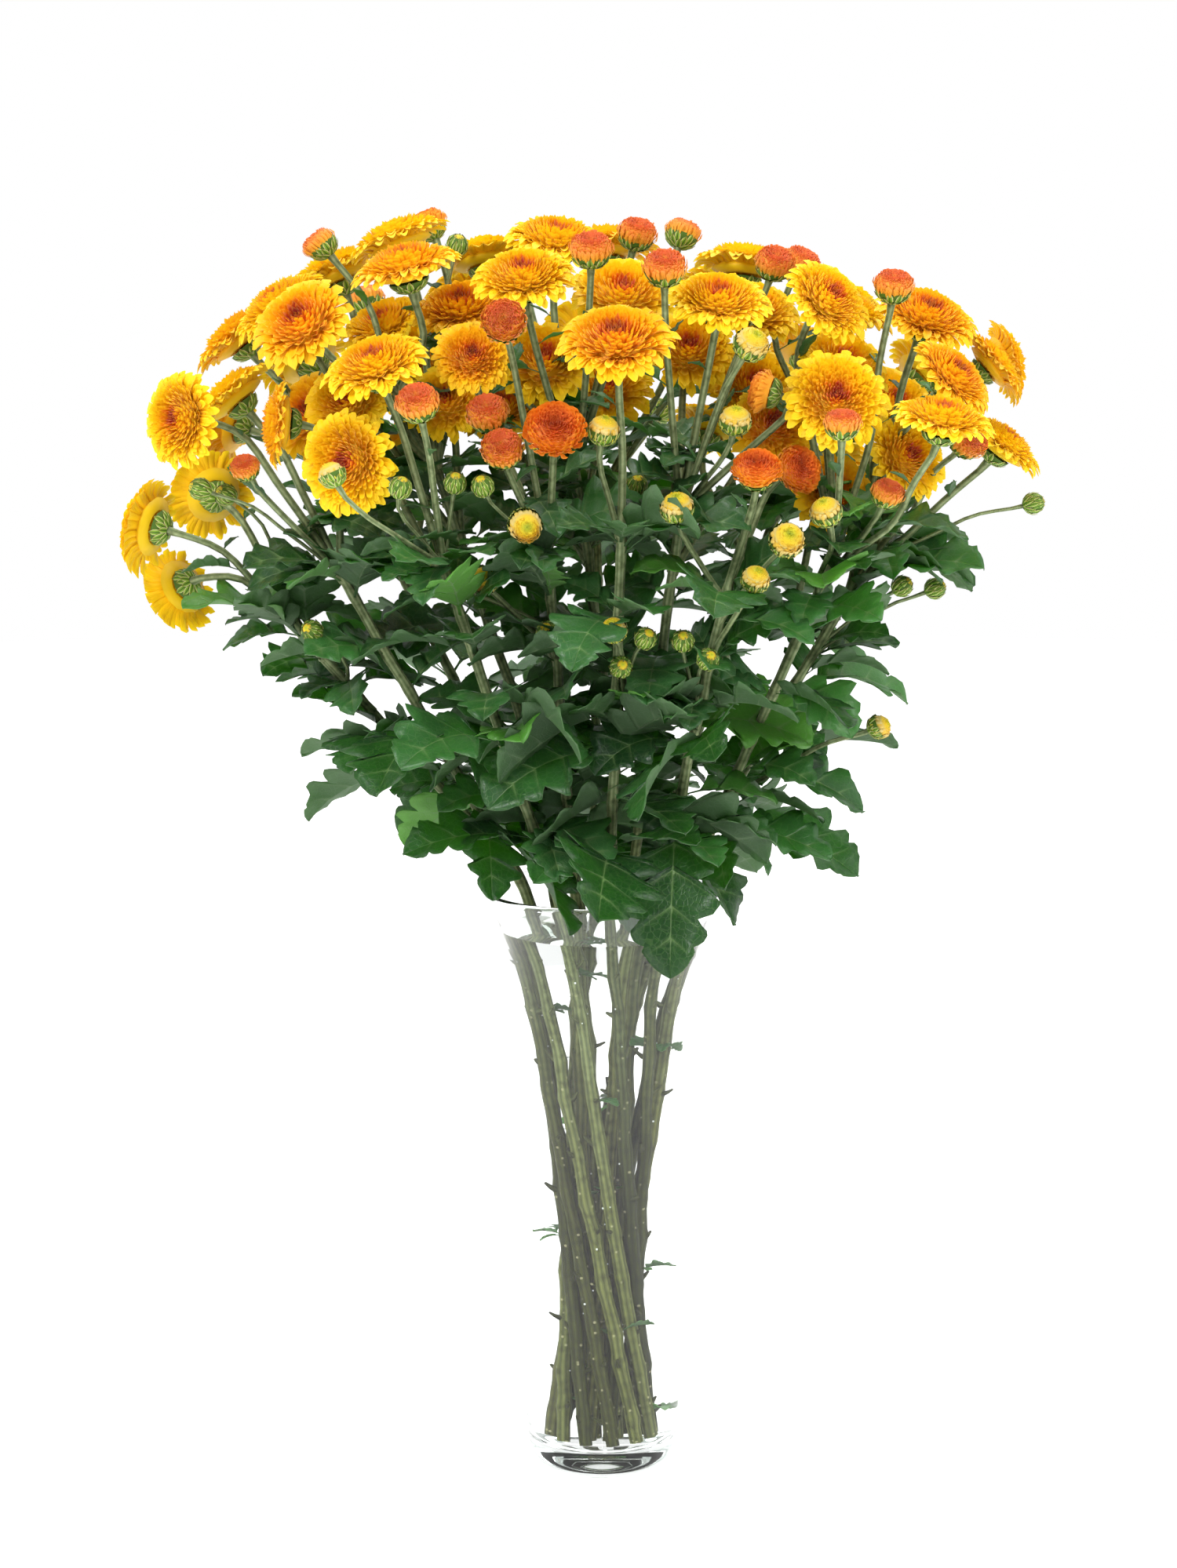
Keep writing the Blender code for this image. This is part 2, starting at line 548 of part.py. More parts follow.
def spread(shoots: list, heads: list, middles: np.ndarray) -> None:
    """Ease shoots of different stems off each other and off the heads they pass, in place."""
    points = np.concatenate([shoot.points for shoot in shoots])
    owner = np.concatenate([[k] * len(shoot.points) for k, shoot in enumerate(shoots)])
    from_tip = np.concatenate([np.arange(len(shoot.points))[::-1] for shoot in shoots])
    stem = np.array([shoot.stem for shoot in shoots])[owner]
    head = np.array([shoot.head for shoot in shoots])[owner]
    width = np.array([max(shoot.radii) for shoot in shoots])[owner]
    own = (head[:, None] == np.arange(len(heads))) & (from_tip[:, None] < 3)
    inner = np.nonzero((from_tip > 0) & (np.roll(owner, 1) == owner))[0]
    free = (points[:, 2] > RIM_PASS_HEIGHT + 0.5) & (np.roll(owner, 1) == owner)
    free &= (head < 0) | (from_tip > 1)
    segments = np.nonzero(from_tip > 0)[0]
    first, second = np.triu_indices(len(segments), 1)
    pairs = segments[first], segments[second]
    apart = stem[pairs[0]] != stem[pairs[1]]
    pairs = pairs[0][apart], pairs[1][apart]
    room = width[pairs[0]] + width[pairs[1]] + SHOOT_GAP
    for _ in range(SPREAD_ROUNDS):
        moves = push_off_shoots(points, pairs, room)
        moves += push_off_heads(points, width, own, heads, middles)
        halfway = 0.5 * (points[segments] + points[segments + 1])
        shift = push_off_heads(halfway, width[segments], own[segments], heads, middles)
        np.add.at(moves, segments, shift)
        np.add.at(moves, segments + 1, shift)
        points[free] += moves[free]
        even = points.copy()
        even[inner] = 0.84 * points[inner] + 0.08 * (points[inner - 1] + points[inner + 1])
        points[free] = even[free]
    for k, shoot in enumerate(shoots):
        shoot.points[:] = points[owner == k]


def regraft(shoots: list) -> None:
    """Move the base of every side shoot back onto its stem's axis."""
    mains = {shoot.stem: shoot.points for shoot in shoots if shoot.head < 0}
    for shoot in shoots:
        if shoot.head >= 0:
            shoot.points[0] = point_at_height([Vector(p) for p in mains[shoot.stem]], shoot.points[0][2])


# ---------------------------------------------------------------- solids
def tube(name: str, points: list, radii: list, fineness: int, collection: bpy.types.Collection) -> bpy.types.Object:
    """Sweep a round rod along points in cm, with a radius at each, and return it as a closed mesh."""
    curve = bpy.data.curves.new(name, "CURVE")
    curve.dimensions = "3D"
    curve.bevel_depth = CM
    curve.bevel_resolution = fineness
    curve.use_fill_caps = True
    spline = curve.splines.new("POLY")
    spline.points.add(len(points) - 1)
    for control, point, radius in zip(spline.points, points, radii):
        control.co = (point[0] * CM, point[1] * CM, point[2] * CM, 1.0)
        control.radius = radius
    sketch = add_object(name + "_sketch", curve, collection)
    evaluated = sketch.evaluated_get(bpy.context.evaluated_depsgraph_get())
    mesh = bpy.data.meshes.new_from_object(evaluated)
    bpy.data.objects.remove(sketch, do_unlink=True)
    weld(mesh)
    return add_object(name, mesh, collection)


def weld(mesh: bpy.types.Mesh) -> None:
    """Join a mesh's doubled points and turn its faces outward."""
    body = bmesh.new()
    body.from_mesh(mesh)
    bmesh.ops.remove_doubles(body, verts=body.verts, dist=0.00002)
    bmesh.ops.recalc_face_normals(body, faces=body.faces)
    body.to_mesh(mesh)
    body.free()


def head_solid(kind: str, collection: bpy.types.Collection) -> bpy.types.Mesh:
    """Turn one head's plain solid, seat at the origin and facing +Z, and return its mesh."""
    shape = HEADS[kind]
    crown = shape.outline[-1][1]
    profile = [(0.0, crown)] + list(reversed(shape.outline)) + [(0.0, 0.0)]
    pattern = turned(kind + "_pattern", profile, shape.segments, collection)
    mesh = bpy.data.meshes.new_from_object(pattern.evaluated_get(bpy.context.evaluated_depsgraph_get()))
    mesh.name = kind
    bpy.data.objects.remove(pattern, do_unlink=True)
    weld(mesh)
    return mesh


def place_head(obj: bpy.types.Object, head: Head, middle: Vector, lift: float) -> None:
    """Stand a head on its seat, lifted along the way it faces."""
    axis = facing(head)
    seat = seat_of(head, middle) + axis * lift
    turn = Vector((0, 0, 1)).rotation_difference(axis).to_matrix().to_4x4()
    obj.matrix_world = Matrix.Translation(seat * CM) @ turn @ Matrix.Scale(head.size, 4)


def build_stem(number: int, shoots: list, placed: list, meshes: dict, material: bpy.types.Material,
               collection: bpy.types.Collection) -> tuple:
    """Sweep a stem's main axis, and in a collection of its own what it is to be joined with."""
    name = "stem_" + STEMS[number].name
    pieces = new_collection(name + "_pieces")
    stem = None
    carried = [s for s in shoots if s.stem == number and (s.head < 0 or placed[s.head][0].kind not in LEFT_OUT)]
    for shoot in carried:
        count = len(shoot.points)
        radii = [shoot.radii[0] + (shoot.radii[1] - shoot.radii[0]) * i / (count - 1) for i in range(count)]
        if shoot.head < 0:
            stem = tube(name, shoot.points, radii, 1, collection)
        else:
            head, middle = placed[shoot.head]
            axis = facing(head)
            own_node = head.kind == "bloom"
            seat = seat_of(head, middle)
            points = [Vector(p) for p in shoot.points[:-1]] + [seat - axis * NECK, seat]
            points[-1] += axis * (0.0 if own_node else NECK)
            radii = radii + radii[-1:]
            mark_as_cutter(tube(name + "_shoot", points, radii, 0, pieces))
            if not own_node:
                knob = add_object(name + "_" + head.kind, meshes[head.kind], pieces)
                place_head(knob, head, middle, 0.0)
                mark_as_cutter(knob)
    finish_part(stem, material)
    return stem, pieces


def combine(obj: bpy.types.Object, pieces: bpy.types.Collection, operation: str) -> None:
    """Join a collection of closed solids to an object, or cut them out of it."""
    boolean = obj.modifiers.new(pieces.name, "BOOLEAN")
    boolean.operation = operation
    boolean.operand_type = "COLLECTION"
    boolean.collection = pieces
    boolean.solver = "EXACT"


def build_leaf(leaf: Leaf, path: list, collection: bpy.types.Collection) -> bpy.types.Object:
    """Cut a flat lobed leaf with its stalk, and hold its stalk's end just off the stem."""
    half = [(share * leaf.length, side * leaf.width / 2) for share, side in LEAF_OUTLINE]
    outline = half + [(x, -y) for x, y in reversed(half[:-1])]
    curve = bpy.data.curves.new(leaf.name, "CURVE")
    curve.dimensions = "2D"
    curve.fill_mode = "BOTH"
    curve.extrude = 0.5 * LEAF_THICKNESS * CM
    spline = curve.splines.new("POLY")
    spline.points.add(len(outline) - 1)
    for control, (x, y) in zip(spline.points, outline):
        control.co = (x * CM, y * CM, 0.0, 1.0)
    spline.use_cyclic_u = True
    sketch = add_object(leaf.name + "_sketch", curve, collection)
    mesh = bpy.data.meshes.new_from_object(sketch.evaluated_get(bpy.context.evaluated_depsgraph_get()))
    bpy.data.objects.remove(sketch, do_unlink=True)
    weld(mesh)
    obj = add_object(leaf.name, mesh, collection)
    azimuth, droop = math.radians(leaf.azimuth), math.radians(leaf.droop)
    out = Vector((math.cos(azimuth), math.sin(azimuth), 0.0))
    node = point_at_height(path, leaf.height)
    start = node + out * (STEM_RADIUS + 0.03)
    turn = Matrix.Rotation(azimuth, 4, "Z") @ Matrix.Rotation(droop, 4, "Y")
    obj.matrix_world = (Matrix.Translation(start * CM) @ turn
                        @ Matrix.Rotation(math.radians(leaf.roll), 4, "X"))
    return obj


def main() -> None:
    """Build the vase, the water, the stems, the blooms and the large leaves."""
    clear_scene()
    parts = new_collection("chrysanthemums_in_vase")
    cutters = new_collection("construction")
    materials = {name: new_material(name) for name in COLOURS}
    middles = crowd(STEMS)
    placed = list(middles.items())
    numbers = {head: i for i, (head, _) in enumerate(placed)}

    shoots = []
    for number, stem in enumerate(STEMS):
        route = main_route(stem)
        shoots.append(Shoot(np.array([list(p) for p in route]), (STEM_RADIUS, STEM_TOP_RADIUS), number, -1))
        for head in stem.heads:
            side = shoot_route(route, head, middles[head])
            widths = (SHOOT_RADIUS * 1.1, SHOOT_RADIUS)
            shoots.append(Shoot(np.array([list(p) for p in side]), widths, number, numbers[head]))
    spread(shoots, [head for head, _ in placed], np.array([list(middle) for _, middle in placed]))
    regraft(shoots)

    finish_part(build_vase(parts), materials["glass"])
    mains = [[Vector(p) for p in shoot.points] for shoot in shoots if shoot.head < 0]
    water, channels = build_water(mains, parts)
    finish_part(water, materials["water"])

    meshes = {kind: head_solid(kind, cutters) for kind in HEADS}
    unions = []
    for number, stem in enumerate(STEMS):
        unions.append(build_stem(number, shoots, placed, meshes, materials["stem"], parts))
        blooms = [head for head in stem.heads if head.kind == "bloom"]
        for count, head in enumerate(blooms, 1):
            bloom = add_object(f"bloom_{stem.name}_{count}", meshes["bloom"], parts)
            place_head(bloom, head, middles[head], GAP / CM)
            finish_part(bloom, materials["petal"])
    for leaf in LEAVES:
        number = [stem.name for stem in STEMS].index(leaf.stem)
        finish_part(build_leaf(leaf, mains[number], parts), materials["leaf"])

    combine(water, channels, "DIFFERENCE")
    for stem, pieces in unions:
        combine(stem, pieces, "UNION")


main()
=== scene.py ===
"""Looks for a bunch of spray chrysanthemums standing in water in a flared glass vase.

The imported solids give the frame: every head, stem and leaf here stands where its solid stands. This script
gives them their real surfaces: clear glass, still water, ribbed stems, lobed leaves with veins, and heads
built floret by floret. Stems are laid in centimetres, heads are drawn in millimetres, meshes are in metres.
"""
import logging
import math
from dataclasses import dataclass, field, replace
from enum import Enum
from functools import partial
from typing import Callable, NamedTuple

import bpy
import numpy as np
from bpy.types import Material, Node, NodeSocket, NodeTree, Object
from mathutils import Matrix, Vector


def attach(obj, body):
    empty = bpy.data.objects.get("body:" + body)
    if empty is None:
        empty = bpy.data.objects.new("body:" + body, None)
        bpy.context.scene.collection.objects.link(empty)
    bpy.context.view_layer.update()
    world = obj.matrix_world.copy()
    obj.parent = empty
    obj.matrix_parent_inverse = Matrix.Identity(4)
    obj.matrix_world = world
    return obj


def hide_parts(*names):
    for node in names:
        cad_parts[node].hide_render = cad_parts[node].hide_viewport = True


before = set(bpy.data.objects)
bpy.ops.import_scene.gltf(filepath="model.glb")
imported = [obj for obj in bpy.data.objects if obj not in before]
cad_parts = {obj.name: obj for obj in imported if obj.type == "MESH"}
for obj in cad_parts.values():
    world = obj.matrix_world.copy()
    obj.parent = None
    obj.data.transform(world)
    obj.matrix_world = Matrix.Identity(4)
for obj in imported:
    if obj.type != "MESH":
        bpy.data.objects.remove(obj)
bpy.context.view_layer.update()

CM = 0.01
MM = 0.001
GOLDEN_ANGLE = math.radians(137.508)
# Paint for things whose finish reads none.
PLAIN = (0.5,) * 4
log = logging.getLogger("bouquet")


# ============ the growing plan
class Stage(Enum):
    """How far a flower head has opened."""

    BLOOM = "bloom"
    INNER = "inner"
    YOUNG = "young"
    BUTTON = "button"
    OPENING = "opening"
    BUD = "bud"


class Envelope(NamedTuple):
    """Room a stage of head takes: largest radius, height, and how far down its shoot forks off, in cm."""

    radius: float
    height: float
    reach: float


ENVELOPES = {
    Stage.BLOOM: Envelope(2.35, 2.05, 7.5),
    Stage.INNER: Envelope(2.35, 2.05, 7.5),
    Stage.YOUNG: Envelope(1.3, 1.85, 6.0),
    Stage.BUTTON: Envelope(0.93, 1.35, 6.0),
    Stage.OPENING: Envelope(0.7, 1.2, 4.5),
    Stage.BUD: Envelope(0.44, 0.9, 3.5),
}


@dataclass(frozen=True)
class Head:
    """A flower head: its stage, its middle in cm, the way it faces in degrees, and its size."""

    stage: Stage
    x: float
    y: float
    z: float
    azimuth: float
    elevation: float
    size: float = 1.0

    def axis(self) -> Vector:
        """Work out the way the head faces.

        Returns:
            A unit vector.
        """
        azimuth, elevation = math.radians(self.azimuth), math.radians(self.elevation)
        flat = math.cos(elevation)
        return Vector((flat * math.cos(azimuth), flat * math.sin(azimuth), math.sin(elevation)))

    def half_size(self) -> tuple[float, float]:
        """Give the head's largest radius and half its height, in cm."""
        envelope = ENVELOPES[self.stage]
        return envelope.radius * self.size, 0.5 * envelope.height * self.size

    def reach_along(self, direction: Vector) -> float:
        """Measure the head, taken as a flattened ball, from its middle.

        Args:
            direction: unit vector to measure along.

        Returns:
            The reach in cm.
        """
        radius, half_height = self.half_size()
        along = direction.dot(self.axis())
        return math.sqrt(radius ** 2 * (1.0 - along ** 2) + half_height ** 2 * along ** 2)

    def seat(self, middle: Vector) -> Vector:
        """Give the head's seat on its shoot, half its height behind its middle, in cm."""
        return middle - self.axis() * self.half_size()[1]


@dataclass(frozen=True)
class StemPlan:
    """A flowering stem: its ring in the bundle, its plan angle at the rim, its route above and its heads."""

    name: str
    ring: tuple
    rim_angle: float
    route: list
    heads: list


# A ring of stems: its radius in cm at the feet, at the straight top and at the rim, and its twist in degrees.
OUTER_RING = (1.65, 2.35, 3.7, -108.0)
INNER_RING = (0.5, 1.05, 1.7, 95.0)
RINGS = {"edge": OUTER_RING, "core": INNER_RING}


def read_plan(table: str) -> list:
    """Read the growing plan.

    Args:
        table: a row for each stem and, below it, a row for each of its heads.

    Returns:
        The plans of the stems.
    """
    stems = []
    for row in table.strip().splitlines():
        kind, *words = row.split()
        if kind in RINGS:
            name, rim_angle, *route = words
            points = np.array(route, dtype=float).reshape(-1, 3)
            stems.append(StemPlan(name, RINGS[kind], float(rim_angle), points.tolist(), []))
        else:
            stems[-1].heads.append(Head(Stage(kind), *map(float, words)))
    return stems


# A stem's row: place in the bundle, name, plan angle at the rim, three points of its route. A head's row:
# stage, middle, azimuth, elevation, size. Azimuth 0 faces +X (right), -90 the front, 180 the left.
STEMS = read_plan("""
edge front_centre -86 0.9 -5.2 31 0.8 -6.8 37 0.7 -8.6 42
  bloom 0.5 -11 49.5 -95 54 1.04
  opening 0 -9.8 46 -60 65
  opening 0.4 -9.5 38 -110 45 0.85
  bud 1.7 -9 37.6 -60 40
  bud 0.7 -9.5 36.5 -80 20
edge front_left -122 -4.2 -4.9 31 -5.3 -6.4 36 -6.6 -8.2 41
  button -7.5 -11.5 47.3 -105 55
  bloom -9.4 -9 48.6 -120 58 0.98
  bloom -10.3 -9 44.8 -115 0 0.95
  opening -10.6 -12.2 44.4 170 65 0.85
  bud -8 -10.8 43.8 -60 60
  bud -5.9 -9.6 43.9 -80 50
edge left -158 -6 -2.6 31 -8.5 -3.6 36.5 -11.2 -4.6 40.3
  bloom -17 -7 46.3 -130 5 0.88
  bloom -15 -3.4 47.4 170 48 0.9
  bloom -12.9 -7.2 46.3 -172 5 0.8
  button -14.2 -7.4 44.6 -110 50 0.7
  bud -16.4 -6.4 43.4 -160 20
edge far_left 166 -7 -0.6 30.5 -10.3 -0.9 34.5 -13.2 -1.3 37.4
  bloom -18.9 -2.4 41.4 158 12 0.92
  bloom -16.8 1.8 42.6 118 12 0.88
  inner -18.1 -0.2 38.9 140 -25 0.86
  bud -15.6 -4 43 -140 30
  bud -12 -5.4 37.5 -120 20
edge back_left 130 -5.2 3.2 31 -8 3.4 37 -10.4 2.8 42.5
  bloom -13.2 -2.4 50.3 -160 52
  bloom -15.3 1.4 49.4 175 50 0.96
  bloom -11.4 1.4 51.9 160 65
  bloom -13 6.2 48.3 140 40
  bloom -16.2 5 45.4 160 15 0.92
  button -10.4 7.2 50.6 130 60
  inner -12.4 1.4 46 -120 30 0.95
  inner -9.1 8.2 44.2 147 46 0.9
edge back 94 -0.5 5.6 31 -0.6 7.2 37 -0.2 7.8 42.5
  bloom -5.6 7.6 51.2 115 58
  bloom 0.2 5.6 53 90 75
  bloom -8.6 10.6 47.2 125 35 0.94
  bloom -0.6 11.6 49 92 32
  bloom 5.4 8.2 51 65 58
  button -3.4 10.8 51.4 100 50
  opening 2.6 12.2 45.6 80 30
  inner -3.2 4.6 48.6 -90 60 0.9
  inner 3.2 5 49.2 -80 60 0.9
  inner -2.1 9.1 44.9 105 55 0.9
edge back_right 58 4.2 4.2 31 6.3 5 37 8 5 42.5
  bloom 6 1.2 52.3 60 78
  bloom 10.4 1.6 50.4 -20 66 0.92
  bloom 9.4 9.8 48 50 38
  bloom 14.2 6.4 47.4 30 32 0.96
  inner 10.4 5.4 50.6 45 62 0.94
  button 8.2 -1.4 52.4 -40 60 0.95
  button 3.4 2.8 53.6 40 65 0.9
  inner 6.4 1.6 47.2 -80 35 0.95
  inner 4.9 9.1 44.9 56 52 0.9
  inner 10.5 7.3 44.2 22 44 0.9
edge right 22 6.6 0.6 31 9.2 0 36.5 11.8 -0.6 40.8
  bloom 13.6 -2.6 49.7 -60 58 0.98
  bloom 16.4 0 48.2 5 38 0.8
  bloom 17.3 3.4 48.2 10 15 0.82
  bloom 16.7 -1.8 44.9 -15 52 0.86
  bloom 13.9 -5.4 48 -35 42 0.88
  button 14.8 -5.6 45.4 -60 35 0.9
  bud 18.2 -1 42.4 0 15
  inner 12.4 1.8 46.4 -60 35 0.9
  inner 12.2 -3.6 44.4 -60 25 0.85
  bud 14.3 1 38.6 -10 25
  bud 12.7 -1 38.9 -30 35
  opening 11.6 -3.2 33.2 -15 25 0.8
edge front_right -14 5.9 -3.2 31 7.5 -4.3 36.5 9.8 -5.8 41.3
  bloom 12.6 -8.6 46.8 -55 72 0.94
  bloom 9.9 -8 47.4 -85 25 0.96
  bloom 9.4 -6.4 50.2 -50 36 0.9
  button 11.4 -5.6 51.4 -80 68 0.95
  button 9.3 -11.8 46.3 -90 72 0.85
  opening 8.8 -10.2 42.8 -120 55
  button 11.4 -7.9 43.3 -60 60 0.8
  inner 9.6 -3.4 43.4 -75 20 0.8
  inner 9.8 -4.4 48.4 -65 41 0.88
edge near_right -50 3.2 -5.2 31 4.1 -7 36 5 -8.6 39.8
  young 6 -11.2 44.5 -92 52 0.85
  opening 7.2 -11.6 41.8 -80 30 1.1
  opening 6 -11 40.2 -70 50 0.9
  opening 2.9 -10.6 43 -100 60 1.05
  young 8 -8.2 44.8 -60 20 0.85
  bud 3.2 -9 37.5 -90 40
  bud 4.2 -9.4 36.8 -70 30
core heart_left -135 -1.5 -2.6 31 -1.7 -4.6 36.5 -2.3 -6.8 41.3
  young -2 -10.6 46 -88 35 1.05
  button -4 -10 45.4 -95 40
  button -4.6 -8.9 46.6 -100 50
  bloom -5.2 -7.6 48.6 -85 32 0.74
  button -3.9 -11 50.3 -92 22 1.05
  opening -3.1 -10.8 42.3 -80 -5 1.05
  bud -4.8 -10 43.8 -110 50
  opening -4.8 -7.4 39.8 -90 25 0.9
  bud -7.2 -6.4 40.4 -105 40
  bud -2.3 -6.6 37.6 -100 35
core heart_right -45 2.2 -2 31 2.5 -4 37.5 3.2 -6.2 43
  button 2.4 -9.6 52.3 -90 62
  bloom 4.6 -7.8 51 -82 60 0.94
  opening 5.8 -10.4 49.4 -60 45 1.1
  opening 5.2 -10 46.4 -80 62
  button 7 -4.6 52.4 -70 55 0.95
  young 6.6 -7.4 47.4 170 15 0.75
  inner 3.6 -0.6 48.8 -85 38 0.95
  inner 7.2 -3.8 45.6 -80 25 0.85
  inner 6.3 -2.6 50.5 -69 52 0.88
core crown_left 135 -3 0.6 32 -5.3 -0.6 38.5 -7.2 -2 44.5
  bloom -8.6 -6.2 51.9 -140 72
  bloom -8.6 -1.6 53.3 165 68
  young -7.4 2 54 150 60 0.75
  button -11.8 -1.8 53 175 50 0.85
  inner -11.4 -6.2 49.8 -118 38
  bud -6 -3.2 53.2 -60 60
  inner -5 3 52.6 120 70 0.94
  inner -8.2 0.6 48.6 -95 35 0.95
  inner -6.6 -3.4 46.8 -100 35 0.85
  inner -10.4 -3.4 46.8 -115 30 0.9
  inner -9.1 -0.8 49.8 -125 55 0.85
core crown_right 45 0.4 1.2 32 -0.6 0.4 38.5 -1.2 -1.4 44.5
  bloom -3.2 -6.8 51.9 -95 58 0.94
  inner -5.8 -3.6 50.6 -110 60 0.96
  bloom -2 0.2 53.3 -70 70
  button -0.5 -8.4 53 -90 65
  inner 0.8 -5 51.2 -85 48
  button 1.4 -1.2 53.6 -60 65 0.95
  inner -2.4 -2.8 48.4 -90 40 0.95
  inner 0.2 1 47.2 -85 35 0.9
  inner -4.2 -0.8 46.3 -114 58 0.88
  bud 1.4 -3.6 43.4 -80 50
""")


# Lengths in cm.
VASE_FLOOR = 1.1
STEM_RADIUS = 0.26
STEM_TOP_RADIUS = 0.21
SHOOT_RADIUS = 0.16
BUNDLE_STRAIGHT_TOP = 21.0
RIM_PASS_HEIGHT = 26.0
# Degrees that a stem's foot and its straight top are turned back, so that neighbours cross.
BUNDLE_LEAN = 10.0
FOOT_GAP = 0.03
SHOOT_GAP = 0.08
HEAD_GAP = 0.06
HEAD_MARGIN = 0.08
NECK = 0.25
FORK_DEPTH = 0.6
SHOOT_STEPS = 4
# How much lower the edge of a leaning foot is, as a share of its radius.
FOOT_TILT = 0.22
# Shares of the way up the bundle where its route has points of its own.
BUNDLE_SHARES = (0.4, 0.8)
# A shoot's radius at its fork over that at its head.
FORK_SWELL = 1.1
# Share of its reach that a shoot forks below its head, and shares of its span that its ends run straight for.
FORK_SHARE = 0.75
END_RUN = 0.35
FORK_RUN = 0.8


@dataclass
class Shoot:
    """A run of wood in cm: its radius at each end, its stem's number and its head's, or -1 on a main axis."""

    points: np.ndarray
    radii: tuple
    stem: int
    head: int


def polar(radius: float, angle: float, height: float) -> Vector:
    """Place a point by its distance to the vase's axis, plan angle in degrees and height."""
    turn = math.radians(angle)
    return Vector((radius * math.cos(turn), radius * math.sin(turn), height))


def smooth(points: list, steps: int) -> list:
    """Run a Catmull-Rom curve through points.

    Args:
        points: vectors that the curve passes.
        steps: how many pieces each span is cut into.

    Returns:
        The finer list of vectors.
    """
    ends = [points[0] * 2 - points[1]] + points + [points[-1] * 2 - points[-2]]
    curve = []
    for i in range(1, len(ends) - 2):
        a, b, c, d = ends[i - 1:i + 3]
        for step in range(steps):
            t = step / steps
            curve.append(0.5 * (2 * b + (c - a) * t + (2 * a - 5 * b + 4 * c - d) * t ** 2
                                + (3 * b - a - 3 * c + d) * t ** 3))
    return curve + [points[-1]]


def at_height(path: list, height: float) -> Vector:
    """Find where a route first reaches a height.

    Args:
        path: points from the foot up.
        height: height to look for.

    Returns:
        The point there, or the route's end.
    """
    for low, high in zip(path, path[1:]):
        if low[2] <= height <= high[2]:
            share = (height - low[2]) / (high[2] - low[2])
            return Vector(low).lerp(Vector(high), share)
    return Vector(path[-1])


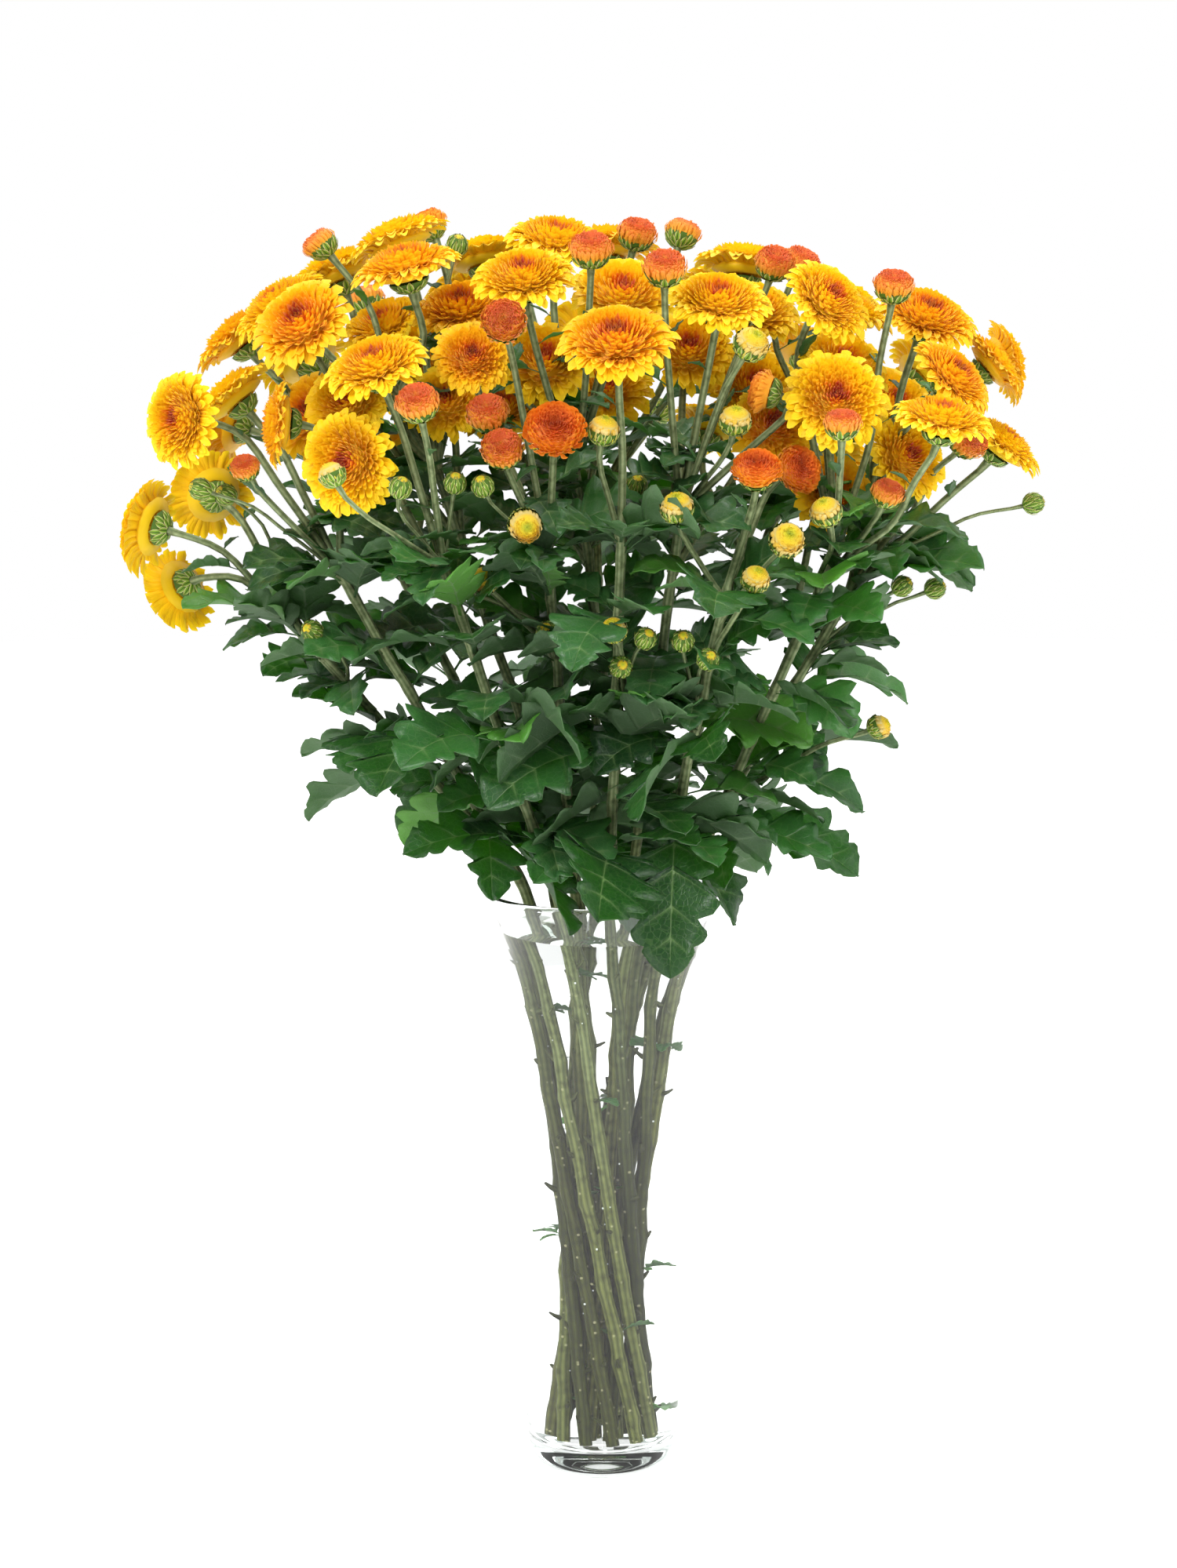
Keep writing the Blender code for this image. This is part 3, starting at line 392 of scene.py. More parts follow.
class Growth:
    """Works out where every head and shoot lies, by easing them off each other as they crowd."""

    crowd_rounds = 80
    spread_rounds = 120
    # Distances in cm past which two heads or two shoots are not looked at.
    head_sight = 5.5
    shoot_sight = 6.0
    # Shares of what two things lack in room that they are moved each round.
    crowd_push = 0.25
    shoot_push = 0.3
    head_push = 0.5
    # Share of its neighbour's place that a point takes on each round.
    evening = 0.08
    # Points at a shoot's end that may touch its own head.
    seated_points = 3
    # Height over the rim from which points are moved.
    moved_above = 0.5

    def __init__(self, stems: list) -> None:
        """Take the plan and grow it.

        Args:
            stems: the plans of all stems.
        """
        self.stems = stems
        self.heads = [head for stem in stems for head in stem.heads]
        self.middles = [Vector((head.x, head.y, head.z)) for head in self.heads]
        self.crowd()
        self.shoots = self.lay_shoots()
        self.spread()
        self.regraft()

    def crowd(self) -> None:
        """Push overlapping heads apart, a little at a time, until each has room."""
        for _ in range(self.crowd_rounds):
            for i, first in enumerate(self.heads):
                for j in range(i + 1, len(self.heads)):
                    offset = self.middles[j] - self.middles[i]
                    distance = offset.length
                    if distance > self.head_sight:
                        continue
                    direction = offset / distance
                    room = first.reach_along(direction) + self.heads[j].reach_along(direction) + HEAD_GAP
                    if distance < room:
                        push = self.crowd_push * (room - distance)
                        self.middles[i] -= direction * push
                        self.middles[j] += direction * push

    @staticmethod
    def main_route(stem: StemPlan) -> list:
        """Lay a stem's main axis: straight and leaning in the bundle, then out over the rim to its fork.

        Args:
            stem: the stem's plan.

        Returns:
            Points in cm from the foot up.
        """
        foot_radius, top_radius, rim_radius, twist = stem.ring
        foot_height = VASE_FLOOR + FOOT_GAP + STEM_RADIUS * FOOT_TILT
        lean = math.copysign(BUNDLE_LEAN, twist)
        foot = polar(foot_radius, stem.rim_angle - twist - lean, foot_height)
        straight_top = polar(top_radius, stem.rim_angle - lean, BUNDLE_STRAIGHT_TOP)
        rim = polar(rim_radius, stem.rim_angle, RIM_PASS_HEIGHT)
        low, high = (foot.lerp(straight_top, share) for share in BUNDLE_SHARES)
        return [foot, low] + smooth([high, straight_top, rim] + [Vector(p) for p in stem.route], 2)

    @staticmethod
    def shoot_route(path: list, head: Head, middle: Vector) -> list:
        """Curve a side shoot from the stem's axis up to a head's seat, arriving along the way it faces.

        Args:
            path: the main axis.
            head: the head it carries.
            middle: the head's middle.

        Returns:
            Points in cm from the fork to the seat.
        """
        seat = head.seat(middle)
        reach = ENVELOPES[head.stage].reach
        start = at_height(path, min(seat.z - FORK_SHARE * reach, path[-1][2] - FORK_DEPTH))
        first = start + Vector((0.0, 0.0, END_RUN * (seat - start).length)) * FORK_RUN
        second = seat - head.axis() * END_RUN * (seat - start).length
        shares = [step / SHOOT_STEPS for step in range(SHOOT_STEPS + 1)]
        return [start * (1 - t) ** 3 + first * 3 * (1 - t) ** 2 * t + second * 3 * (1 - t) * t * t
                + seat * t ** 3 for t in shares]

    def lay_shoots(self) -> list:
        """Lay every main axis and every side shoot.

        Returns:
            The shoots, each main axis before the side shoots it carries.
        """
        shoots, count = [], 0
        for number, stem in enumerate(self.stems):
            route = self.main_route(stem)
            shoots.append(Shoot(np.array(route), (STEM_RADIUS, STEM_TOP_RADIUS), number, -1))
            for head in stem.heads:
                side = self.shoot_route(route, head, self.middles[count])
                shoots.append(Shoot(np.array(side), (SHOOT_RADIUS * FORK_SWELL, SHOOT_RADIUS), number, count))
                count += 1
        return shoots

    @staticmethod
    def closest_shares(base: np.ndarray, along: np.ndarray, other: np.ndarray,
                       other_along: np.ndarray) -> tuple:
        """Find the shares along two lists of segments at which each pair comes closest.

        Args:
            base: first ends of the first list.
            along: spans of the first list.
            other: first ends of the second list.
            other_along: spans of the second list.

        Returns:
            The shares of the first and of the second list, as columns.
        """
        between = base - other
        a = np.einsum("ij,ij->i", along, along)
        b = np.einsum("ij,ij->i", along, other_along)
        c = np.einsum("ij,ij->i", other_along, other_along)
        d = np.einsum("ij,ij->i", along, between)
        e = np.einsum("ij,ij->i", other_along, between)
        first = np.clip((b * e - c * d) / np.maximum(a * c - b * b, 1e-9), 0.0, 1.0)
        second = np.clip((b * first + e) / np.maximum(c, 1e-9), 0.0, 1.0)
        first = np.clip((b * second - d) / np.maximum(a, 1e-9), 0.0, 1.0)
        return first[:, None], second[:, None]

    def push_off_shoots(self, points: np.ndarray, pairs: tuple, room: np.ndarray) -> np.ndarray:
        """Work out the moves that part every too close pair of segments.

        Args:
            points: all points of all shoots.
            pairs: first points of both segments of each pair.
            room: the distance each pair needs.

        Returns:
            A move for every point.
        """
        moves = np.zeros_like(points)
        a, b = pairs
        near = np.linalg.norm(points[a] - points[b], axis=1) < self.shoot_sight
        a, b, room = a[near], b[near], room[near]
        s, t = self.closest_shares(points[a], points[a + 1] - points[a], points[b], points[b + 1] - points[b])
        offset = points[b] * (1 - t) + points[b + 1] * t - points[a] * (1 - s) - points[a + 1] * s
        distance = np.maximum(np.linalg.norm(offset, axis=1), 1e-6)
        push = offset * (self.shoot_push * np.maximum(room - distance, 0.0) / distance)[:, None]
        for rows, shift in ((a, -push * (1 - s)), (a + 1, -push * s), (b, push * (1 - t)), (b + 1, push * t)):
            np.add.at(moves, rows, shift)
        return moves

    def push_off_heads(self, points: np.ndarray, widths: np.ndarray, own: np.ndarray) -> np.ndarray:
        """Work out the moves that clear points off every head but their own.

        Args:
            points: points to clear.
            widths: the shoot's radius at each.
            own: table of the heads that each point may touch.

        Returns:
            A move for every point.
        """
        middles = np.array(self.middles)
        axes = np.array([head.axis() for head in self.heads])
        sizes = np.array([head.half_size() for head in self.heads])
        margin = widths[:, None] + HEAD_MARGIN
        offset = points[:, None, :] - middles[None, :, :]
        along = np.einsum("phk,hk->ph", offset, axes)
        across = np.linalg.norm(offset - along[:, :, None] * axes[None], axis=2)
        depth = 1.0 - np.hypot(along / (sizes[:, 1] + margin), across / (sizes[:, 0] + margin))
        depth = np.where(own, 0.0, np.maximum(depth, 0.0)) * (sizes[:, 1] + margin)
        away = offset / np.maximum(np.linalg.norm(offset, axis=2), 1e-6)[:, :, None]
        return self.head_push * np.einsum("ph,phk->pk", depth, away)

    def spread(self) -> None:
        """Ease shoots of different stems off each other and off the heads they pass."""
        shoots = self.shoots
        points = np.concatenate([shoot.points for shoot in shoots])
        owner = np.concatenate([[k] * len(shoot.points) for k, shoot in enumerate(shoots)])
        from_tip = np.concatenate([np.arange(len(shoot.points))[::-1] for shoot in shoots])
        stem = np.array([shoot.stem for shoot in shoots])[owner]
        head = np.array([shoot.head for shoot in shoots])[owner]
        width = np.array([max(shoot.radii) for shoot in shoots])[owner]
        own = (head[:, None] == np.arange(len(self.heads))) & (from_tip[:, None] < self.seated_points)
        inner = np.nonzero((from_tip > 0) & (np.roll(owner, 1) == owner))[0]
        free = (points[:, 2] > RIM_PASS_HEIGHT + self.moved_above) & (np.roll(owner, 1) == owner)
        free &= (head < 0) | (from_tip > 1)
        segments = np.nonzero(from_tip > 0)[0]
        first, second = np.triu_indices(len(segments), 1)
        pairs = segments[first], segments[second]
        apart = stem[pairs[0]] != stem[pairs[1]]
        pairs = pairs[0][apart], pairs[1][apart]
        room = width[pairs[0]] + width[pairs[1]] + SHOOT_GAP
        for _ in range(self.spread_rounds):
            moves = self.push_off_shoots(points, pairs, room)
            moves += self.push_off_heads(points, width, own)
            halfway = 0.5 * (points[segments] + points[segments + 1])
            shift = self.push_off_heads(halfway, width[segments], own[segments])
            np.add.at(moves, segments, shift)
            np.add.at(moves, segments + 1, shift)
            points[free] += moves[free]
            even = points.copy()
            around = points[inner - 1] + points[inner + 1]
            even[inner] = (1.0 - 2.0 * self.evening) * points[inner] + self.evening * around
            points[free] = even[free]
        for k, shoot in enumerate(shoots):
            shoot.points[:] = points[owner == k]

    def regraft(self) -> None:
        """Move the base of every side shoot back onto its stem's axis."""
        mains = {shoot.stem: shoot.points for shoot in self.shoots if shoot.head < 0}
        for shoot in self.shoots:
            if shoot.head >= 0:
                shoot.points[0] = at_height([Vector(p) for p in mains[shoot.stem]], shoot.points[0][2])


# ============ drawing meshes
class MeshDraft:
    """Points and faces of a piece while it is drawn, with four channels of paint at each point."""

    def __init__(self) -> None:
        """Start with an empty draft."""
        self.points: list = []
        self.paints: list = []
        self.faces: list = []
        self.coats: list = []
        self.total = 0

    def add(self, points: np.ndarray, paint: np.ndarray, faces: np.ndarray, coat: int) -> None:
        """Take in points with their paint, and faces counted from the first of them.

        Args:
            points: rows of x, y, z.
            paint: rows of four channels, one for each point.
            faces: rows of three or four point numbers.
            coat: material slot of the faces.
        """
        self.points.append(points)
        self.paints.append(paint)
        self.faces.append(faces + self.total)
        self.coats.append(np.full(len(faces), coat))
        self.total += len(points)

    def sheets(self, grid: np.ndarray, paint: tuple, coat: int, closed: bool = False) -> None:
        """Add sheets of quads.

        Args:
            grid: points by sheet, row and column.
            paint: four channels, each of a shape that spreads over sheet, row and column.
            coat: material slot.
            closed: True joins the last column to the first.
        """
        count, rows, cols = grid.shape[:3]
        numbers = np.arange(count * rows * cols).reshape(count, rows, cols)
        if closed:
            numbers = np.concatenate([numbers, numbers[:, :, :1]], axis=2)
        corners = [numbers[:, :-1, :-1], numbers[:, :-1, 1:], numbers[:, 1:, 1:], numbers[:, 1:, :-1]]
        channels = [np.broadcast_to(channel, grid.shape[:3]).ravel() for channel in paint]
        faces = np.stack([corner.ravel() for corner in corners], axis=1)
        self.add(grid.reshape(-1, 3), np.stack(channels, axis=1), faces, coat)

    def cap(self, ring: np.ndarray, paint: tuple, coat: int, flip: bool = False) -> None:
        """Close a ring with a fan of triangles.

        Args:
            ring: its points in order.
            paint: four numbers.
            coat: material slot.
            flip: True turns the fan over.
        """
        count = len(ring)
        around = np.arange(count)
        nexts = (around + 1) % count
        pair = (nexts, around) if flip else (around, nexts)
        faces = np.stack([*pair, np.full(count, count)], axis=1)
        points = np.concatenate([ring, ring.mean(axis=0, keepdims=True)])
        self.add(points, np.tile(paint, (count + 1, 1)), faces, coat)

    def turned_body(self, rings: np.ndarray) -> None:
        """Add a turned body in plain paint and close it at both ends.

        Args:
            rings: one sheet of points by ring and side.
        """
        self.sheets(rings, PLAIN, 0, closed=True)
        self.cap(rings[0, 0], PLAIN, 0, flip=True)
        self.cap(rings[0, -1], PLAIN, 0)

    def join(self, other: "MeshDraft", turn: np.ndarray, place: np.ndarray) -> None:
        """Take in another draft, turned and scaled, then moved.

        Args:
            other: the draft to take in.
            turn: three by three matrix.
            place: where its origin goes.
        """
        for points, paint, faces, coat in zip(other.points, other.paints, other.faces, other.coats):
            self.points.append(points @ turn.T + place)
            self.paints.append(paint)
            self.faces.append(faces + self.total)
            self.coats.append(coat)
        self.total += other.total

    def build(self, name: str, materials: list) -> Object:
        """Make the object and link it.

        Args:
            name: the piece's name.
            materials: one for each coat.

        Returns:
            The new mesh object, shaded smooth.
        """
        mesh = bpy.data.meshes.new(name)
        faces = [face for group in self.faces for face in group.tolist()]
        mesh.from_pydata(np.concatenate(self.points).tolist(), [], faces)
        paint = mesh.attributes.new("paint", "FLOAT_COLOR", "POINT")
        paint.data.foreach_set("color", np.concatenate(self.paints).astype(np.float32).ravel())
        mesh.polygons.foreach_set("material_index", np.concatenate(self.coats).astype(np.int32))
        for material in materials:
            mesh.materials.append(material)
        mesh.shade_smooth()
        obj = bpy.data.objects.new(name, mesh)
        bpy.context.scene.collection.objects.link(obj)
        return obj


def unit(vectors: np.ndarray) -> np.ndarray:
    """Scale rows of vectors to length one."""
    return vectors / np.maximum(np.linalg.norm(vectors, axis=-1, keepdims=True), 1e-12)


def refined(points: np.ndarray, steps: int) -> np.ndarray:
    """Run a smooth curve through rows of points and cut each span into steps."""
    return np.array(smooth([Vector(p) for p in points], steps))


def frames_along(path: np.ndarray) -> tuple[np.ndarray, np.ndarray]:
    """Carry two cross directions along a path without twisting them.

    Args:
        path: rows of points.

    Returns:
        Both cross directions at every point.
    """
    ahead = unit(np.gradient(path, axis=0))
    side = np.zeros_like(path)
    guess = np.array([1.0, 0.0, 0.0]) if abs(ahead[0][0]) < 0.8 else np.array([0.0, 1.0, 0.0])
    for i, direction in enumerate(ahead):
        guess = guess - direction * guess.dot(direction)
        guess /= np.linalg.norm(guess)
        side[i] = guess
    return side, np.cross(ahead, side)


def sweep(draft: MeshDraft, path: np.ndarray, radii: np.ndarray, sides: int, ribs: float,
          tone: tuple) -> None:
    """Sweep a ribbed rod with closed ends along a path.

    Args:
        draft: the piece it joins.
        path: rows of points.
        radii: radius at every point.
        sides: how many sides; every second one is a rib.
        ribs: how far a rib stands proud, as a share of the radius.
        tone: two paint channels, age of the wood and chance.
    """
    side, up = frames_along(path)
    angle = np.arange(sides) * math.tau / sides
    rib = (np.arange(sides) % 2 == 0).astype(float)
    reach = radii[:, None] * (1.0 + ribs * (rib - 0.5))[None, :]
    ring = np.cos(angle)[None, :, None] * side[:, None] + np.sin(angle)[None, :, None] * up[:, None]
    grid = path[:, None] + ring * reach[:, :, None]
    along = np.linspace(0.0, 1.0, len(path))
    age, chance = tone
    draft.sheets(grid[None], (along[None, :, None], age, rib[None, None, :], chance), 0, closed=True)
    draft.cap(grid[0], (0.0, age, 0.0, chance), 0, flip=True)
    draft.cap(grid[-1], (1.0, age, 0.0, chance), 0)


def turned(profile: np.ndarray, sides: int) -> np.ndarray:
    """Turn a profile about Z.

    Args:
        profile: rows of radius and height.
        sides: how many points to a ring.

    Returns:
        One sheet of points by profile row and side.
    """
    angle = np.arange(sides) * math.tau / sides
    radius, height = profile[:, :1], profile[:, 1:]
    return np.stack([radius * np.cos(angle), radius * np.sin(angle), height + 0.0 * angle], axis=-1)[None]


# ============ finishes
def linear(colour: str) -> tuple[float, float, float, float]:
    """Turn an sRGB hex colour such as "#FFB000" to linear light with a full alpha."""
    parts = [int(colour[i:i + 2], 16) / 255.0 for i in (1, 3, 5)]
    return *(c / 12.92 if c <= 0.04045 else ((c + 0.055) / 1.055) ** 2.4 for c in parts), 1.0


def node(tree: NodeTree, kind: str, *values: object, stops: tuple = (), **settings: object) -> Node:
    """Add a node with its settings and links.

    Args:
        tree: the nodes it joins.
        kind: its type without the ShaderNode prefix.
        values: what its open sockets take, in their order, or one dict of that by socket name. Each is a
            number, an sRGB hex colour, an output, or a node for its first open output.
        stops: places and sRGB hex colours of its ramp.
        settings: its own options.

    Returns:
        The new node.
    """
    made = tree.nodes.new("ShaderNode" + kind)
    for name, value in settings.items():
        setattr(made, name, value)
    if stops:
        elements = made.color_ramp.elements
        while len(elements) < len(stops):
            elements.new(0.5)
        for element, (place, colour) in zip(elements, stops):
            element.position, element.color = place, linear(colour)
    if values and isinstance(values[0], dict):
        taken = [(made.inputs[name], value) for name, value in values[0].items()]
    else:
        taken = zip([socket for socket in made.inputs if socket.enabled], values)
    for socket, value in taken:
        if isinstance(value, Node):
            value = next(output for output in value.outputs if output.enabled)
        if isinstance(value, NodeSocket):
            tree.links.new(value, socket)
        else:
            socket.default_value = linear(value) if isinstance(value, str) else value
    return made


# Adds a node to the material being made: node with its first argument filled in.
Adder = Callable[..., Node]


class Finish:
    """A material by what the real one is: each kind has a name and lays its own nodes."""

    name: str

    def shade(self, add: Adder) -> Node:
        """Lay the nodes and give the shader."""
        raise NotImplementedError

    def make(self) -> Material:
        """Make the material.

        Returns:
            The new material.
        """
        material = bpy.data.materials.new(self.name)
        material.use_nodes = True
        tree = material.node_tree
        tree.nodes.clear()
        output = tree.nodes.new("ShaderNodeOutputMaterial")
        tree.links.new(self.shade(partial(node, tree)).outputs[0], output.inputs["Surface"])
        return material


def paint_channels(add: Adder) -> tuple:
    """Read the four channels that a draft painted on its points.

    Args:
        add: adds a node.

    Returns:
        Four outputs.
    """
    paint = add("Attribute", attribute_name="paint")
    split = add("SeparateColor", paint)
    return *(split.outputs[i] for i in range(3)), paint.outputs["Alpha"]


def thin_leafy(add: Adder, colour: Node, through: Node, share: float, bump: Node, **gloss: float) -> Node:
    """Shade living tissue so thin that light comes through it.

    Args:
        add: adds a node.
        colour: what it throws back.
        through: what it lets through.
        share: how much of the light goes through.
        bump: its relief as a normal.
        gloss: Principled sockets by name, with _ for a space.

    Returns:
        The shader.
    """
    sockets = {name.replace("_", " "): value for name, value in gloss.items()}
    skin = add("BsdfPrincipled", {"Base Color": colour, "Normal": bump, **sockets})
    glow = add("BsdfTranslucent", {"Color": through, "Normal": bump})
    return add("MixShader", share, skin, glow)


class FloretTone(Enum):
    """Colours from a head's middle to its rim, at a floret's foot (own colour and painted shade), how fast
    that fades, and at its tip (own colour and painted highlight).
    """

    GOLD = (((0.0, "#D8503A"), (0.06, "#CC2A50"), (0.13, "#D02E4E"), (0.19, "#F0641E"), (0.24, "#FFA606"),
             (0.3, "#FFC404"), (0.6, "#FFD004"), (1.0, "#FFD806")), "#FFBC04", 3.2, "#FFE018")
    AMBER = (((0.0, "#C4442E"), (0.08, "#B82644"), (0.15, "#C42E3E"), (0.22, "#EC641C"), (0.29, "#FFA408"),
              (0.45, "#FFBE04"), (1.0, "#FFCE06")), "#FFAC04", 3.0, "#FFD818")
    RUSSET = (((0.0, "#EEA440"), (0.2, "#EA7040"), (0.5, "#EA6640"), (0.78, "#F28434"), (1.0, "#FAA42A")),
              "#ECBC2E", 1.3, "#FFB070")
    APRICOT = (((0.0, "#C8401E"), (0.3, "#DC521C"), (0.5, "#EE701E"), (0.7, "#FA921E"), (1.0, "#FFB020")),
               "#F8A01C", 1.8, "#FFB444")
    LEMON = (((0.0, "#98B028"), (0.22, "#C4C824"), (0.5, "#EED01E"), (0.72, "#F6C824"), (0.88, "#F0C048"),
              (1.0, "#E8D090")), "#C8C430", 1.4, "#F4E048")


@dataclass(frozen=True)
class FloretSkin(Finish):
    """Living ray floret: thin, velvety and a little waxy, grown with fine lengthwise ridges.

    It gives the eye saturated yellow that deepens to red-orange towards the floret's foot, partly its own
    colour and partly painted shade where the florets overlap; its tips are paler, partly as painted
    highlight, and its grooves carry a faint painted shade. Light comes through.
    """

    tone: FloretTone
    ridges: float = 7.0
    see_through: float = 0.24

    @property
    def name(self) -> str:
        """Give the material's name."""
        return "floret_" + self.tone.name.lower()

    def shade(self, add: Adder) -> Node:
        """Lay the nodes.

        Args:
            add: adds a node.

        Returns:
            The shader.
        """
        stops, foot_tone_and_shade, fade, tips = self.tone.value
        along, ring, across, chance = paint_channels(add)
        swing = add("Math", chance, 0.16, -0.08, operation="MULTIPLY_ADD")
        colour = add("ValToRGB", add("Math", ring, swing, operation="ADD"), stops=stops)
        # Towards its foot a floret takes the foot tone: partly its own deeper colour, partly painted shade
        # where the florets overlap.
        foot = add("Math", add("Math", 1.0, along, operation="SUBTRACT"), fade, operation="POWER")
        colour = add("Mix", foot, colour, foot_tone_and_shade, data_type="RGBA")
        # Tips are lightened: partly their own paler colour, partly a painted highlight.
        tip = add("Math", add("Math", along, 6.0, operation="POWER"), 0.35, operation="MULTIPLY")
        colour = add("Mix", tip, colour, tips, data_type="RGBA")
        # The ridges darken the colour a little in their grooves: painted shade, besides the bump.
        stripe = add("Math", across, self.ridges * math.tau, operation="MULTIPLY")
        stripe = add("Math", stripe, operation="SINE")
        dim = add("Math", stripe, 0.05, 0.97, operation="MULTIPLY_ADD")
        dim = add("CombineColor", dim, dim, dim)
        colour = add("Mix", 1.0, colour, dim, data_type="RGBA", blend_type="MULTIPLY")
        bump = add("Bump", {"Height": stripe, "Strength": 0.25, "Distance": 0.1 * MM})
        return thin_leafy(add, colour, colour, self.see_through, bump, Roughness=0.5, Sheen_Weight=0.12,
                          Specular_IOR_Level=0.3)


@dataclass(frozen=True)
class BractSkin(Finish):
    """Scales of the green cup: leathery, downy, with a dark keel and a pale papery margin.

    It gives the eye the dark and light stripes round the foot of every head.
    """

    name: str = "bract_green"
    keel: str = "#40621A"
    flesh: str = "#7FA434"
    margin: str = "#CDD08E"
    edge: str = "#43361C"
    dry_tip: str = "#A06A4A"
    old_flesh: str = "#5A7A2A"

    def shade(self, add: Adder) -> Node:
        """Lay the nodes.

        Args:
            add: adds a node.

        Returns:
            The shader.
        """
        along, _, across, chance = paint_channels(add)
        off_middle = add("Math", across, 2.0, -1.0, operation="MULTIPLY_ADD")
        off_middle = add("Math", off_middle, operation="ABSOLUTE")
        stripes = add("ValToRGB", off_middle, stops=(
            (0.0, self.keel), (0.12, self.keel), (0.3, self.flesh), (0.58, self.flesh), (0.74, self.margin),
            (0.84, self.margin), (0.95, self.edge)))
        tip = add("Math", along, 5.0, operation="POWER")
        tip = add("Math", tip, 0.45, operation="MULTIPLY")
        colour = add("Mix", tip, stripes, self.dry_tip, data_type="RGBA")
        aged = add("Math", chance, 0.2, operation="MULTIPLY")
        colour = add("Mix", aged, colour, self.old_flesh, data_type="RGBA")
        down = add("TexNoise", {"Scale": 1.0 / (0.25 * MM), "Detail": 2.0})
        bump = add("Bump", {"Height": down, "Strength": 0.2, "Distance": 0.1 * MM})
        return add("BsdfPrincipled", {"Base Color": colour, "Roughness": 0.6, "Specular IOR Level": 0.25,
                                      "Normal": bump})


@dataclass(frozen=True)
class StemSkin(Finish):
    """Green wood of a cut stem: ribbed and downy when young, brown and corky where it stands in water.

    It gives the eye pale and dark stripes along the stem, with small warts on the old wood.
    """

    name: str = "stem_green_wood"
    rib: str = "#A2AE84"
    groove: str = "#687A54"
    old_rib: str = "#788048"
    old_groove: str = "#464A26"
    wart: str = "#C4BE94"
    # Heights in metres between which brown wood turns to green.
    old_up_to: float = 0.19
    young_from: float = 0.37

    def shade(self, add: Adder) -> Node:
        """Lay the nodes.

        Args:
            add: adds a node.

        Returns:
            The shader.
        """
        _, age, rib, chance = paint_channels(add)
        place = add("TexCoord").outputs["Object"]
        young = add("Mix", rib, self.groove, self.rib, data_type="RGBA")
        old = add("Mix", rib, self.old_groove, self.old_rib, data_type="RGBA")
        height = add("SeparateXYZ", place).outputs["Z"]
        drift = add("TexNoise", {"Vector": place, "Scale": 1.0 / (28 * MM), "Detail": 2.0})
        level = add("Math", drift, 0.10, height, operation="MULTIPLY_ADD")
        wood = add("MapRange", level, self.old_up_to, self.young_from, 1.0, 0.0)
        old_share = add("Math", wood, age, operation="MULTIPLY")
        colour = add("Mix", old_share, young, old, data_type="RGBA")
        mottle = add("TexNoise", {"Vector": place, "Scale": 1.0 / (3 * MM), "Detail": 4.0})
        patches = add("ValToRGB", mottle, stops=((0.3, "#80806A"), (0.5, "#D8D8C8"), (0.72, "#FFFFFF")))
        colour = add("Mix", 0.75, colour, patches, data_type="RGBA", blend_type="MULTIPLY")
        dim = add("ValToRGB", chance, stops=((0.0, "#50583E"), (0.35, "#9C9870"), (0.6, "#EADFC0"),
                                             (1.0, "#FFFFFF")))
        dim_share = add("Math", wood, 0.9, operation="MULTIPLY")
        colour = add("Mix", dim_share, colour, dim, data_type="RGBA", blend_type="MULTIPLY")
        warts = add("TexVoronoi", {"Vector": place, "Scale": 1.0 / (4.5 * MM)})
        wart = add("ValToRGB", warts, stops=((0.0, "#FFFFFF"), (0.1, "#FFFFFF"), (0.16, "#000000")))
        wart_share = add("Math", wart, wood, operation="MULTIPLY")
        wart_share = add("Math", wart_share, 0.45, operation="MULTIPLY")
        colour = add("Mix", wart_share, colour, self.wart, data_type="RGBA")
        raised = add("Math", wart, 0.6, operation="MULTIPLY")
        relief = add("Math", mottle, raised, operation="ADD")
        bump = add("Bump", {"Height": relief, "Strength": 0.35, "Distance": 0.4 * MM})
        return add("BsdfPrincipled", {"Base Color": colour, "Roughness": 0.6, "Specular IOR Level": 0.15,
                                      "Normal": bump})


class LeafSide(Enum):
    """Colours of a leaf's face: young and old blade, veins, light through it, and its roughness."""

    UPPER = ("#427640", "#1A3420", "#90B070", "#84CC3C", 0.32)
    UNDER = ("#5C7854", "#40583C", "#88A078", "#8CCC4C", 0.6)


